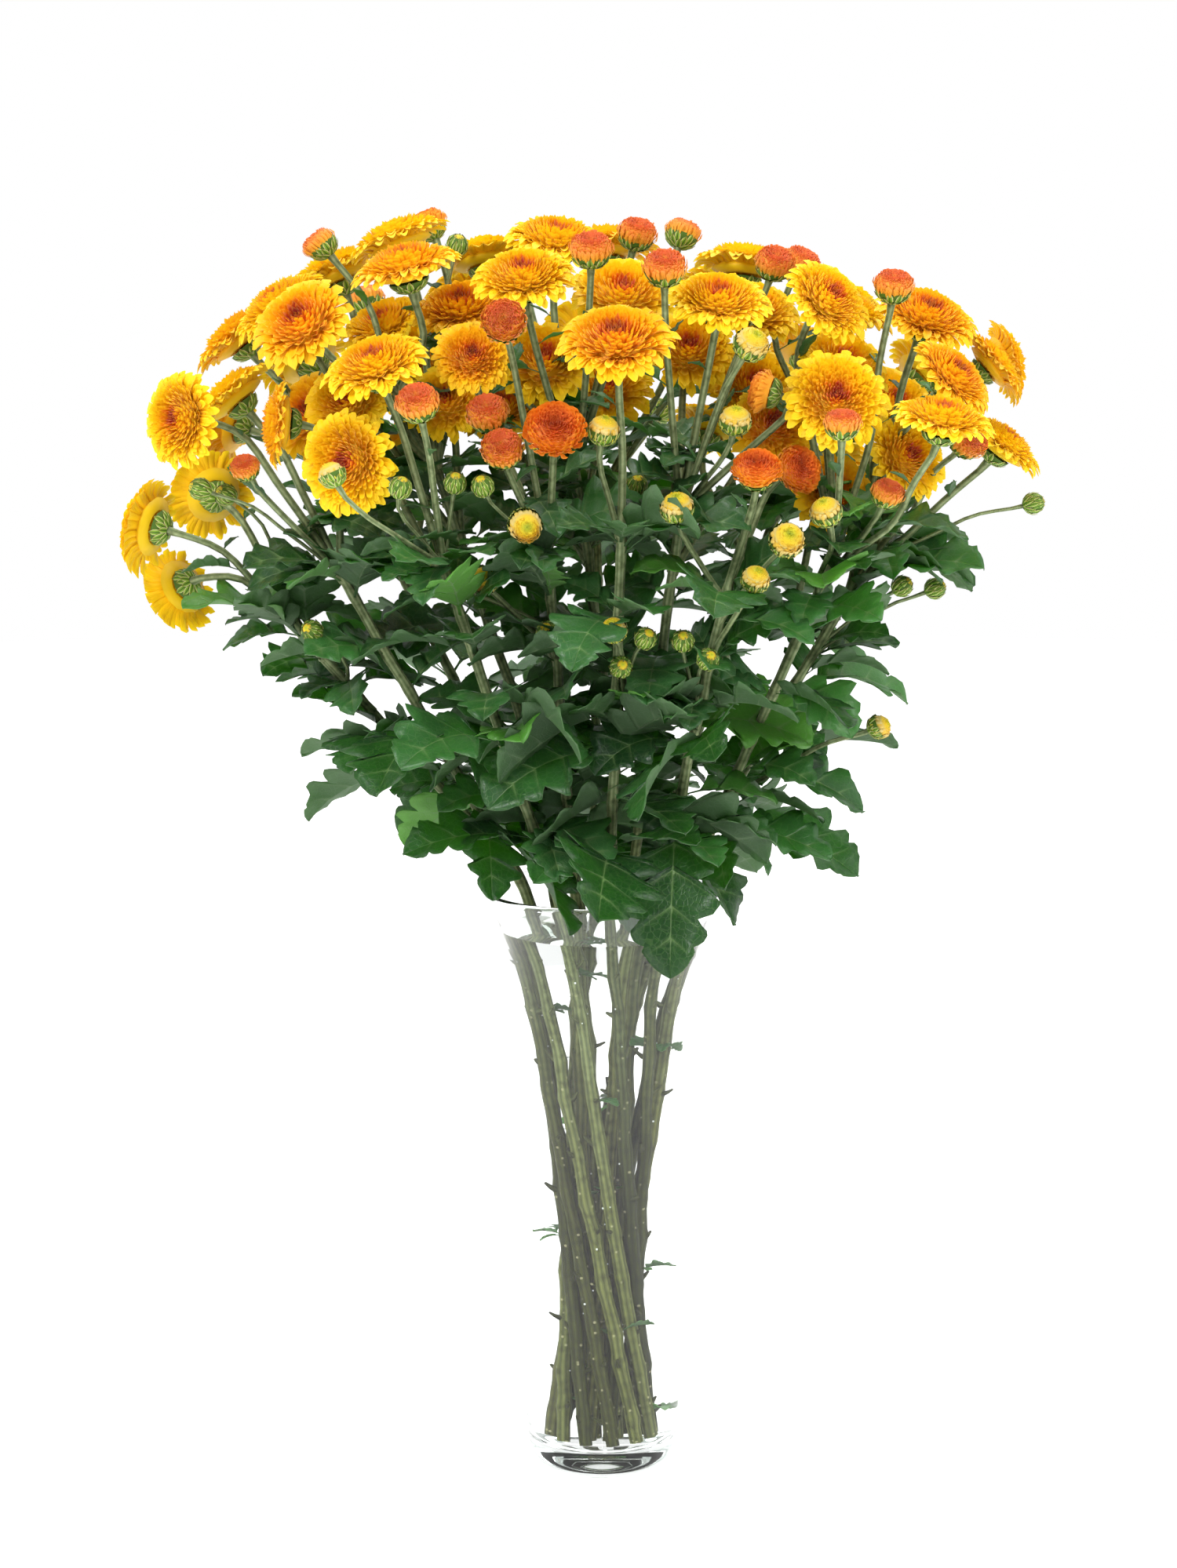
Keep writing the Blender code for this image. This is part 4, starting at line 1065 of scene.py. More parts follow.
@dataclass(frozen=True)
class LeafSkin(Finish):
    """Chrysanthemum leaf: leathery, lobed, waxy above and grey with down beneath, with pale sunken veins.

    It gives the eye dark green with a soft gloss, a lighter net of veins, and bright green where light comes
    through.
    """

    side: LeafSide
    see_through: float = 0.34
    fresh: str = "#5C9A34"

    @property
    def name(self) -> str:
        """Give the material's name."""
        return "leaf_" + self.side.name.lower()

    def shade(self, add: Adder) -> Node:
        """Lay the nodes.

        Args:
            add: adds a node.

        Returns:
            The shader.
        """
        young, old, pale, glow, rough = self.side.value
        _, vein, _, chance = paint_channels(add)
        place = add("TexCoord").outputs["Object"]
        cloud = add("TexNoise", {"Vector": place, "Scale": 1.0 / (14 * MM), "Detail": 3.0})
        own = add("Math", chance, 0.35, operation="SUBTRACT")
        mixed = add("Math", cloud, 0.7, own, operation="MULTIPLY_ADD")
        blade = add("ValToRGB", mixed, stops=((0.15, old), (0.85, young)))
        fresh = add("MapRange", chance, 0.82, 0.96, 0.0, 0.8)
        blade = add("Mix", fresh, blade, self.fresh, data_type="RGBA")
        line = add("Math", vein, 4.0, operation="POWER")
        net = add("TexVoronoi", {"Vector": place, "Scale": 1.0 / (2.6 * MM)}, feature="DISTANCE_TO_EDGE")
        net_line = add("ValToRGB", net, stops=((0.0, "#FFFFFF"), (0.05, "#808080"), (0.12, "#000000")))
        net_share = add("Math", net_line, 0.16, operation="MULTIPLY")
        colour = add("Mix", net_share, blade, pale, data_type="RGBA")
        line_share = add("Math", line, 0.62, operation="MULTIPLY")
        colour = add("Mix", line_share, colour, pale, data_type="RGBA")
        dense = add("Math", line, 0.5, operation="MULTIPLY")
        through = add("Mix", dense, glow, pale, data_type="RGBA")
        sunk = add("Math", line, -1.0, operation="MULTIPLY")
        net_sunk = add("Math", net_line, -0.3, operation="MULTIPLY")
        relief = add("Math", sunk, net_sunk, operation="ADD")
        grain = add("TexNoise", {"Vector": place, "Scale": 1.0 / (1.2 * MM), "Detail": 3.0})
        relief = add("Math", grain, 0.4, relief, operation="MULTIPLY_ADD")
        bump = add("Bump", {"Height": relief, "Strength": 0.5, "Distance": 0.35 * MM})
        return thin_leafy(add, colour, through, self.see_through, bump, Roughness=rough,
                          Specular_IOR_Level=0.45)


class ClearKind(Enum):
    """Clear things: index of refraction and tint. Wetted glass bends light only from glass to water."""

    GLASS = (1.5, "#F8FBFA")
    WETTED_GLASS = (1.125, "#FFFFFF")
    WATER = (1.333, "#FBFDFA")


@dataclass(frozen=True)
class ClearBody(Finish):
    """Blown soda-lime glass, or tap water: colourless, with bright rims where it bends the light.

    Shadow rays and light that has been bent many times pass straight through, so that the stems inside are
    lit as they are by daylight and the thick foot stays bright.
    """

    kind: ClearKind
    most_bends: float = 7.5

    @property
    def name(self) -> str:
        """Give the material's name."""
        return "clear_" + self.kind.name.lower()

    def shade(self, add: Adder) -> Node:
        """Lay the nodes.

        Args:
            add: adds a node.

        Returns:
            The shader.
        """
        index, tint = self.kind.value
        clear = add("BsdfPrincipled", {"Base Color": tint, "Roughness": 0.0, "IOR": index,
                                       "Transmission Weight": 1.0})
        passing = add("BsdfTransparent", "#F4F8F6")
        path = add("LightPath")
        lost = add("Math", path.outputs["Ray Depth"], self.most_bends, operation="GREATER_THAN")
        straight = add("Math", path.outputs["Is Shadow Ray"], lost, operation="MAXIMUM")
        return add("MixShader", straight, clear, passing)


@dataclass(frozen=True)
class WaterAtGlass(Finish):
    """The water's side on the glass: nothing to see, as the wetted glass already bends the light."""

    name: str = "water_at_glass"

    def shade(self, add: Adder) -> Node:
        """Lay the one node."""
        return add("BsdfTransparent", "#FFFFFF")


@dataclass(frozen=True)
class AirBubble(Finish):
    """Air clinging under water, drawn as an opaque white bead whose white is painted reflection of the light
    a bubble's skin throws back.
    """

    name: str = "air_bubble"

    def shade(self, add: Adder) -> Node:
        """Lay the nodes.

        Args:
            add: adds a node.

        Returns:
            The shader.
        """
        place = add("TexCoord").outputs["Object"]
        cloud = add("TexNoise", {"Vector": place, "Scale": 1.0 / (6 * MM)})
        # Near-white colour: painted reflection standing in for the sparkle of a bubble.
        colour = add("ValToRGB", cloud, stops=((0.3, "#DCE6E2"), (0.7, "#FFFFFF")))
        return add("BsdfPrincipled", {"Base Color": colour, "Roughness": 0.12, "Coat Weight": 0.5})


@dataclass(frozen=True)
class StudioPaper(Finish):
    """White background paper: matte, with a faint tooth, so that it gives a plain pale floor."""

    name: str = "studio_paper"
    colour: str = "#F7F7F6"
    glow: float = 0.22

    def shade(self, add: Adder) -> Node:
        """Lay the nodes.

        Args:
            add: adds a node.

        Returns:
            The shader.
        """
        place = add("TexCoord").outputs["Object"]
        tooth = add("TexNoise", {"Vector": place, "Scale": 1.0 / (2 * MM), "Detail": 2.0})
        bump = add("Bump", {"Height": tooth, "Strength": 0.05, "Distance": 0.05 * MM})
        return add("BsdfPrincipled", {"Base Color": self.colour, "Roughness": 0.9,
                                      "Specular IOR Level": 0.1, "Normal": bump,
                                      "Emission Color": self.colour, "Emission Strength": self.glow})


# ============ flower heads
# Places along a floret, and across it, that its sheet is drawn at: where it shows most, less, and least.
FINE_SHEET = ((0.0, 0.5, 0.82, 1.0), (-1.0, -0.5, 0.0, 0.5, 1.0))
PLAIN_SHEET = ((0.0, 0.5, 0.84, 1.0), (-1.0, 0.0, 1.0))
SHORT_SHEET = ((0.0, 0.6, 1.0), (-1.0, 0.0, 1.0))
# Share of a floret's full width from its foot to its rounded tip, and the same for a pointed bract.
FLORET_WIDTHS = ([0.0, 0.3, 0.6, 0.84, 0.94, 1.0], [0.3, 0.6, 0.92, 1.0, 0.98, 0.9])
BRACT_WIDTHS = ([0.0, 0.35, 0.7, 0.9, 1.0], [0.8, 1.0, 0.9, 0.66, 0.3])


@dataclass(frozen=True)
class HeadSizes:
    """Sizes in mm of a stage of head, with its seat at the origin and +Z the way it faces.

    bends gives, for a few shares of the head's radius, how far out and how far up towards its tip a floret
    turns. cushion is how near the bed between the florets comes to their tips. A higher shoulder keeps the
    crown flat for longer before it drops, and dish is the share of the radius that its crater takes up.
    """

    florets: int
    crowding: float
    tip_radius: float
    crown: float
    drop: float
    crater: float
    foot_radius: float
    foot_height: float
    bends: tuple
    widths: tuple
    hollow: tuple
    cushion: float
    cup_radius: float
    cup_height: float
    cup_angle: float
    bracts: int
    bract_width: float
    fine_from: float = 0.62
    inner_sheet: tuple = PLAIN_SHEET
    shoulder: float = 2.4
    dish: float = 0.22


OPEN_HEAD = HeadSizes(
    florets=340, crowding=0.68, tip_radius=23.2, crown=20.2, drop=11.4, crater=2.6, foot_radius=5.6,
    foot_height=7.0, bends=((0.0, 0.3, 0.6, 0.8, 1.0), (1.1, 0.9, 0.78, 0.74, 0.6),
                            (0.5, 0.5, 0.6, 0.8, 2.6)),
    widths=(1.0, 4.0), hollow=(0.7, 0.35), cushion=0.6, cup_radius=8.2, cup_height=5.4, cup_angle=84.0,
    bracts=24, bract_width=3.2)
CLOSER_HEAD = replace(OPEN_HEAD, hollow=(0.5, 0.5), fine_from=2.0, inner_sheet=SHORT_SHEET)
HEAD_SIZES = {
    Stage.BLOOM: OPEN_HEAD,
    Stage.INNER: replace(OPEN_HEAD, florets=210, widths=(1.3, 4.8), fine_from=2.0),
    Stage.YOUNG: replace(
        CLOSER_HEAD, florets=360, crowding=0.56, tip_radius=12.8, crown=17.6, drop=6.0, crater=2.4,
        foot_radius=6.4, foot_height=6.4, bends=((0.0, 0.7, 1.0), (0.7, 0.9, 1.2), (1.05, 0.9, 0.7)),
        widths=(1.0, 2.3), cushion=0.82, cup_radius=8.6, cup_height=5.8, shoulder=3.4, dish=0.4),
    Stage.BUTTON: replace(
        CLOSER_HEAD, florets=320, crowding=0.53, tip_radius=9.1, crown=13.5, drop=2.6, crater=1.9,
        foot_radius=6.8, foot_height=4.4, bends=((0.0, 0.7, 0.9, 1.0), (0.6, 0.75, 1.2, 1.6),
                                                 (1.1, 1.08, 0.7, 0.45)),
        widths=(0.9, 1.5), hollow=(0.4, 0.5), cushion=0.84, cup_radius=8.0, cup_height=6.2, cup_angle=88.0,
        bracts=22, bract_width=3.4, shoulder=5.0, dish=0.5),
    Stage.OPENING: replace(
        CLOSER_HEAD, florets=170, crowding=0.53, tip_radius=5.8, crown=12.0, drop=2.6, crater=0.8,
        foot_radius=6.5, foot_height=4.6, bends=((0.0, 0.6, 1.0), (1.0, 1.5, -1.0), (0.6, 0.6, 0.66)),
        widths=(0.8, 1.8), cushion=0.9, cup_radius=6.6, cup_height=6.4, cup_angle=92.0, bracts=26,
        bract_width=2.8),
    Stage.BUD: replace(
        CLOSER_HEAD, florets=30, crowding=0.6, tip_radius=2.4, crown=9.0, drop=1.0, crater=0.0,
        foot_radius=2.6, foot_height=6.0, bends=((0.0, 1.0), (1.0, 1.4), (0.6, 0.6)), widths=(0.7, 1.2),
        cushion=0.95, cup_radius=4.3, cup_height=4.5, cup_angle=148.0, bract_width=2.2),
}


@dataclass
class FlowerHead:
    """Draws one head: a green cup of bracts, a receptacle, and florets in golden-angle order."""

    plan: Head
    middle: Vector
    seed: int
    sag: float = 1.3
    # How much lower, in mm, the outermost florets stand on the bed than the middle ones.
    foot_drop: float = 1.5
    cup_sides: int = 16
    cup_rings: int = 8
    bed_rings: int = 7
    bract_tiers: int = 3
    # How uneven florets are in azimuth, reach, height, width and lean, and bracts in reach.
    uneven: tuple = (0.06, 0.025, 0.02, 0.08, 0.05, 0.03)
    # How far a floret's tip is rounded back at its margins, and how far it curls up.
    tip_round: float = 0.12
    tip_curl: float = 0.14
    # Degrees round from the stalk where the cup starts, and where its lowest bracts do.
    cup_start: float = 14.0
    bract_start: float = 16.0
    bract_tier: float = 12.0
    sizes: HeadSizes = field(init=False)
    rng: np.random.Generator = field(init=False)
    turn: np.ndarray = field(init=False)
    down: np.ndarray = field(init=False)
    mesh: MeshDraft = field(init=False, default_factory=MeshDraft)

    def __post_init__(self) -> None:
        """Read the stage's sizes, start the head's own chances and turn it the way it faces."""
        self.sizes = HEAD_SIZES[self.plan.stage]
        self.rng = np.random.default_rng(self.seed)
        upright = Vector((0, 0, 1)).rotation_difference(self.plan.axis()).to_matrix()
        self.turn = np.array(upright @ Matrix.Rotation(self.rng.random() * math.tau, 3, "Z"))
        self.down = self.turn.T @ np.array([0.0, 0.0, -1.0])

    def draw(self, draft: MeshDraft, floret_coat: int, green_coat: int) -> None:
        """Draw the head in mm about its seat, then stand it in its place in metres.

        Args:
            draft: the piece it joins.
            floret_coat: material slot of the florets.
            green_coat: material slot of the green parts.
        """
        self.florets(floret_coat)
        self.cup(green_coat, floret_coat)
        seat = np.array(self.plan.seat(self.middle)) * CM
        draft.join(self.mesh, self.turn * self.plan.size * MM, seat)

    def tip_height(self, share: np.ndarray) -> np.ndarray:
        """Give the height in mm of the floret tips at shares of the head's radius."""
        s = self.sizes
        return s.crown - s.drop * share ** s.shoulder - s.crater * np.exp(-(share / s.dish) ** 2)

    def florets(self, coat: int) -> None:
        """Draw the florets, the outer ones finely.

        Args:
            coat: their material slot.
        """
        s, rng, uneven = self.sizes, self.rng, self.uneven
        order = np.arange(s.florets) + 0.5
        share = (order / s.florets) ** s.crowding
        azimuth = order * GOLDEN_ANGLE + rng.normal(0.0, uneven[0], s.florets)
        tip_radius = s.tip_radius * share * (1.0 + rng.normal(0.0, uneven[1], s.florets))
        tip_height = self.tip_height(share) + rng.normal(0.0, uneven[2] * s.crown, s.florets)
        width = s.widths[0] + (s.widths[1] - s.widths[0]) * share
        width = width * (1.0 + rng.normal(0.0, uneven[3], s.florets))
        chance = rng.random(s.florets)
        lean = rng.normal(0.0, uneven[4], s.florets)
        for fine in (True, False):
            pick = (share > s.fine_from) == fine
            traits = (share, azimuth, tip_radius, tip_height, width, chance, lean)
            columns = [trait[pick][:, None, None] for trait in traits]
            self.floret_sheets(columns, FINE_SHEET if fine else s.inner_sheet, coat)

    def floret_sheets(self, columns: list, places: tuple, coat: int) -> None:
        """Draw a batch of florets as spoon-shaped sheets.

        Args:
            columns: share of the radius, azimuth, tip radius, tip height, width, chance and lean of each.
            places: places along and across a floret that its sheet is drawn at.
            coat: their material slot.
        """
        s = self.sizes
        share, azimuth, tip_radius, tip_height, width, chance, lean = columns
        along = np.array(places[0])[None, :, None]
        across = np.array(places[1])[None, None, :]
        t = along - self.tip_round * across ** 2 * along ** 3
        foot_radius, foot_height = s.foot_radius * share, s.foot_height - self.foot_drop * share ** 2
        out, up = np.interp(share, s.bends[0], s.bends[1]), np.interp(share, s.bends[0], s.bends[2])
        bend_radius = foot_radius + (tip_radius - foot_radius) * out
        bend_height = foot_height + (tip_height - foot_height) * up
        radius = (1 - t) ** 2 * foot_radius + 2 * t * (1 - t) * bend_radius + t ** 2 * tip_radius
        height = (1 - t) ** 2 * foot_height + 2 * t * (1 - t) * bend_height + t ** 2 * tip_height
        outward = 2 * (1 - t) * (bend_radius - foot_radius) + 2 * t * (tip_radius - bend_radius)
        upward = 2 * (1 - t) * (bend_height - foot_height) + 2 * t * (tip_height - bend_height)
        length = np.maximum(np.hypot(outward, upward), 1e-6)
        half_width = 0.5 * width * np.interp(t, *FLORET_WIDTHS)
        hollow = s.hollow[0] + (s.hollow[1] - s.hollow[0]) * share ** 2
        lift = hollow * half_width * across ** 2 + self.tip_curl * width * t ** 6
        radius = radius - lift * upward / length
        height = height + lift * outward / length
        turn = azimuth + lean * t ** 2
        side = half_width * across
        grid = np.stack([radius * np.cos(turn) - side * np.sin(turn),
                         radius * np.sin(turn) + side * np.cos(turn), height + 0.0 * turn], axis=-1)
        grid = grid + self.down * (self.sag * share ** 2 * t ** 2)[..., None]
        self.mesh.sheets(grid, (along, share, 0.5 + 0.5 * across, chance), coat)

    def cup_point(self, angle: np.ndarray, stand: np.ndarray) -> tuple[np.ndarray, np.ndarray]:
        """Give radius and height in mm at an angle from the stalk and a stand off the cup's side."""
        radius = (self.sizes.cup_radius + stand) * np.sin(angle)
        return radius, self.sizes.cup_height - (self.sizes.cup_height + stand) * np.cos(angle)

    def cup(self, cup_coat: int, bed_coat: int) -> None:
        """Draw the cup, its overlapping bracts and the bed that the florets stand on.

        Args:
            cup_coat: material slot of the green parts.
            bed_coat: material slot of the bed.
        """
        s, rng = self.sizes, self.rng
        angle = np.radians(np.linspace(self.cup_start, s.cup_angle, self.cup_rings))
        radius, height = self.cup_point(angle, np.zeros(self.cup_rings))
        wall = turned(np.stack([radius, height], axis=1), self.cup_sides)
        self.mesh.sheets(wall, (0.5, 0.5, 0.5, 0.6), cup_coat, closed=True)
        share = np.linspace(1.0, 0.02, self.bed_rings)
        rise = 0.5 * (height[-1] + s.foot_height)
        bed = np.stack([s.cushion * s.tip_radius * share,
                        rise + (self.tip_height(share) - rise) * s.cushion], axis=1)
        bed = np.concatenate([[[min(radius[-1], bed[0][0]), rise]], bed])
        ring = np.concatenate([[1.0], share])[None, :, None]
        self.mesh.sheets(turned(bed, self.cup_sides), (0.5, ring, 0.5, 0.5), bed_coat, closed=True)
        order = np.arange(s.bracts)
        tier = (order * self.bract_tiers // s.bracts)[:, None, None]
        across = np.linspace(-1.0, 1.0, 5)[None, None, :]
        along = np.linspace(0.0, 1.0, 4)[None, :, None]
        low = np.radians(self.bract_start + self.bract_tier * tier)
        reach = rng.normal(0.0, self.uneven[5], s.bracts)[:, None, None]
        high = np.radians(s.cup_angle) * (0.6 + 0.24 * tier + reach)
        angle = low + (high - low) * (along - 0.08 * across ** 2 * along ** 3)
        stand = 0.2 + 0.22 * (self.bract_tiers - 1 - tier) + 0.12 * along - 0.3 * across ** 2
        radius, height = self.cup_point(angle, stand)
        spread = 0.5 * s.bract_width * np.interp(along, *BRACT_WIDTHS) * across / np.maximum(radius, 1.2)
        turn = (order * GOLDEN_ANGLE)[:, None, None] + spread
        grid = np.stack([radius * np.cos(turn), radius * np.sin(turn), height + 0.0 * turn], axis=-1)
        chance = rng.random(s.bracts)[:, None, None]
        self.mesh.sheets(grid, (along, 0.5, 0.5 + 0.5 * across, chance), cup_coat)


# ============ stems and leaves
@dataclass(frozen=True)
class LeafPlan:
    """A large leaf: its stem, its node's height, the way it points and droops in degrees, its size in cm."""

    name: str
    stem: str
    height: float
    azimuth: float
    droop: float
    length: float
    width: float
    roll: float


BIG_LEAVES = [
    LeafPlan("leaf_front_hanging", "near_right", 29.6, -95, 62, 7.2, 4.4, 10),
    LeafPlan("leaf_front_broad", "front_centre", 34.2, -150, 25, 6.0, 4.6, 55),
    LeafPlan("leaf_left_long", "left", 31.6, 172, -2, 6.4, 3.8, 25),
    LeafPlan("leaf_left_low", "front_left", 28.6, -170, 6, 5.6, 3.6, -25),
    LeafPlan("leaf_right_long", "right", 31.2, 2, -5, 6.4, 3.8, -20),
    LeafPlan("leaf_right_low", "front_right", 28.6, -8, 14, 5.2, 3.4, 25),
    LeafPlan("leaf_back_right", "back_right", 30.4, 62, 20, 6.2, 4.0, 10),
    LeafPlan("leaf_back_left", "back_left", 30.4, 128, 20, 6.2, 4.0, -10),
]


class LeafShape(Enum):
    """Half outline of a leaf by place along it and half width, in blade lengths from the stalk's foot."""

    LOBED = ((-0.22, 0.016), (-0.08, 0.014), (0.0, 0.022), (0.04, 0.06), (0.08, 0.12), (0.12, 0.20),
             (0.15, 0.27), (0.185, 0.325), (0.22, 0.33), (0.25, 0.355), (0.29, 0.345), (0.32, 0.29),
             (0.335, 0.225), (0.37, 0.27), (0.40, 0.335), (0.44, 0.385), (0.475, 0.395), (0.51, 0.44),
             (0.55, 0.435), (0.58, 0.375), (0.595, 0.30), (0.605, 0.235), (0.645, 0.27), (0.68, 0.32),
             (0.71, 0.34), (0.75, 0.315), (0.77, 0.26), (0.785, 0.205), (0.82, 0.225), (0.855, 0.215),
             (0.88, 0.175), (0.91, 0.165), (0.945, 0.115), (0.975, 0.07), (1.0, 0.004))
    SMALL = ((-0.22, 0.018), (0.0, 0.03), (0.08, 0.12), (0.16, 0.28), (0.25, 0.35), (0.31, 0.28),
             (0.34, 0.21), (0.42, 0.35), (0.51, 0.43), (0.57, 0.38), (0.60, 0.24), (0.66, 0.29),
             (0.72, 0.33), (0.78, 0.25), (0.80, 0.19), (0.87, 0.19), (0.94, 0.11), (1.0, 0.004))
    NARROW = ((-0.16, 0.02), (0.0, 0.03), (0.12, 0.09), (0.28, 0.14), (0.4, 0.145), (0.46, 0.165),
              (0.6, 0.12), (0.78, 0.08), (0.9, 0.035), (1.0, 0.004))


# Points of an outline that end a side vein.
VEIN_TIPS = {LeafShape.LOBED: [9, 17, 24, 29], LeafShape.SMALL: [4, 8, 12, 15], LeafShape.NARROW: []}
# Places across the half blade that a leaf is drawn at, by outline.
LEAF_COLUMNS = {LeafShape.LOBED: [1.0, 0.68, 0.32, 0.06], LeafShape.SMALL: [1.0, 0.5, 0.08],
                LeafShape.NARROW: [1.0, 0.12]}
# A leaf's stalk as a share of its blade.
STALK_SHARE = 0.2


class Habit(NamedTuple):
    """How a kind of leaf stands: ranges in degrees of rise, arch and roll, and its width by its length."""

    rise: tuple
    arch: tuple
    roll: tuple
    width: float


NODE_HABIT = Habit((0, 0), (30, 80), (-50, 50), 0.7)
ARMPIT_HABIT = NODE_HABIT._replace(rise=(0, 30))
SHOOT_HABIT = Habit((5, 45), (20, 70), (-40, 40), 0.6)
NARROW_HABIT = Habit((30, 60), (20, 50), (-30, 30), 0.3)


@dataclass
class Leaf:
    """Draws a leaf as a lobed sheet, folded along its midrib, arched and rippled. Lengths in cm."""

    start: Vector
    azimuth: float
    elevation: float
    arch: float
    length: float
    width: float
    roll: float
    seed: int
    shape: LeafShape = LeafShape.LOBED
    fold: float = 14.0
    # Waves along the margin and over the blade: height as a share of the length, and how many.
    margin_wave: tuple = (0.0175, 17.0)
    blade_wave: tuple = (0.012, 31.0)
    pucker_height: float = 0.006
    # How far forward the side veins run, and how much of their paint they lose by the margin.
    vein_slant: float = 0.62
    vein_fade: float = 0.45
    uneven_margin: float = 0.04

    def outline(self) -> tuple[np.ndarray, np.ndarray, np.ndarray]:
        """Lay out the half blade.

        Returns:
            By row: the margin's place along the blade, its half width, and where its vein leaves the midrib.
        """
        along, side = np.array(self.shape.value).T
        root = np.maximum.accumulate(np.clip(along - self.vein_slant * side, along[0], 1.0))
        root[-1] = 1.0
        return along, side, root

    def draw(self, draft: MeshDraft) -> None:
        """Draw the leaf in metres.

        Args:
            draft: the piece it joins.
        """
        rng = np.random.default_rng(self.seed)
        along, side, root = self.outline()
        half = LEAF_COLUMNS[self.shape]
        across = np.array(half + [0.0] + [-share for share in reversed(half)])[None, :]
        reach = np.abs(across)
        vein = np.zeros((len(along), across.shape[1]))
        vein[VEIN_TIPS[self.shape]] = 1.0 - self.vein_fade * reach
        vein = np.maximum(vein, (reach == 0.0) * 1.0 + (np.abs(reach - 0.07) < 0.02) * 0.25)
        x = root[:, None] + (along - root)[:, None] * reach
        wobble = 1.0 + rng.normal(0.0, self.uneven_margin, (len(along), 1))
        scale = self.width / (2.0 * side.max())
        y = side[:, None] * across * scale * wobble
        s = (x + STALK_SHARE) / (1.0 + STALK_SHARE)
        blade = np.clip(x * 8.0, 0.0, 1.0)
        phase = rng.random(3) * math.tau
        high, often = self.margin_wave
        ripple = high * self.length * reach ** 2 * np.sin(often * s + phase[0] + 1.5 * np.sign(across))
        high, often = self.blade_wave
        ripple += high * self.length * reach * np.sin(often * s + phase[1])
        pucker = self.pucker_height * self.length * (1.0 - vein) * np.minimum(reach * 3.0, 1.0)
        lift = (ripple + pucker) * blade
        grid = self.bend(s, y, lift, blade)
        draft.sheets(grid[None], (s[None], vein[None], reach[None], rng.random()), 0)

    def bend(self, s: np.ndarray, y: np.ndarray, lift: np.ndarray, blade: np.ndarray) -> np.ndarray:
        """Arch the flat leaf and put it in its place.

        Args:
            s: share of the whole length of every point.
            y: its distance to the midrib.
            lift: its height over the flat leaf.
            blade: 1 on the blade and 0 on the stalk.

        Returns:
            Its points in metres, by row and column.
        """
        start_angle, arch = math.radians(self.elevation), -math.radians(self.arch)
        angle = start_angle + arch * s
        run = self.length * (np.sin(angle) - math.sin(start_angle)) / arch
        rise = self.length * (math.cos(start_angle) - np.cos(angle)) / arch
        twist = math.radians(self.roll) * np.clip(s * 1.6, 0.0, 1.0)
        fold = math.radians(self.fold) * blade
        out = y * np.cos(fold)
        up = np.abs(y) * np.sin(fold) + lift
        sideways = out * np.cos(twist) - up * np.sin(twist)
        upward = out * np.sin(twist) + up * np.cos(twist)
        grid = np.stack([run - upward * np.sin(angle), sideways, rise + upward * np.cos(angle)], axis=-1)
        turn = np.array(Matrix.Rotation(math.radians(self.azimuth), 3, "Z"))
        return (grid @ turn.T + np.array(self.start)) * CM


def leaf_piece(draft: MeshDraft, name: str, skins: tuple) -> Object:
    """Make leaves from their sheets, with a thickness and an underside of its own.

    Args:
        draft: the sheets.
        name: the piece's name.
        skins: materials of the upper side and the underside.

    Returns:
        The new object.
    """
    obj = draft.build(name, list(skins))
    solid = obj.modifiers.new("thickness", "SOLIDIFY")
    solid.thickness = 0.3 * MM
    solid.offset = -1.0
    solid.material_offset = 1
    solid.material_offset_rim = 1
    return obj


# Degrees that the leaves of each next stem are turned by.
STEM_TURN = 77.0
# Thickness of a side shoot by the head it carries.
SHOOT_SCALE = {Stage.BLOOM: 1.0, Stage.INNER: 1.0, Stage.YOUNG: 0.95, Stage.BUTTON: 0.9, Stage.OPENING: 0.75,
               Stage.BUD: 0.5}


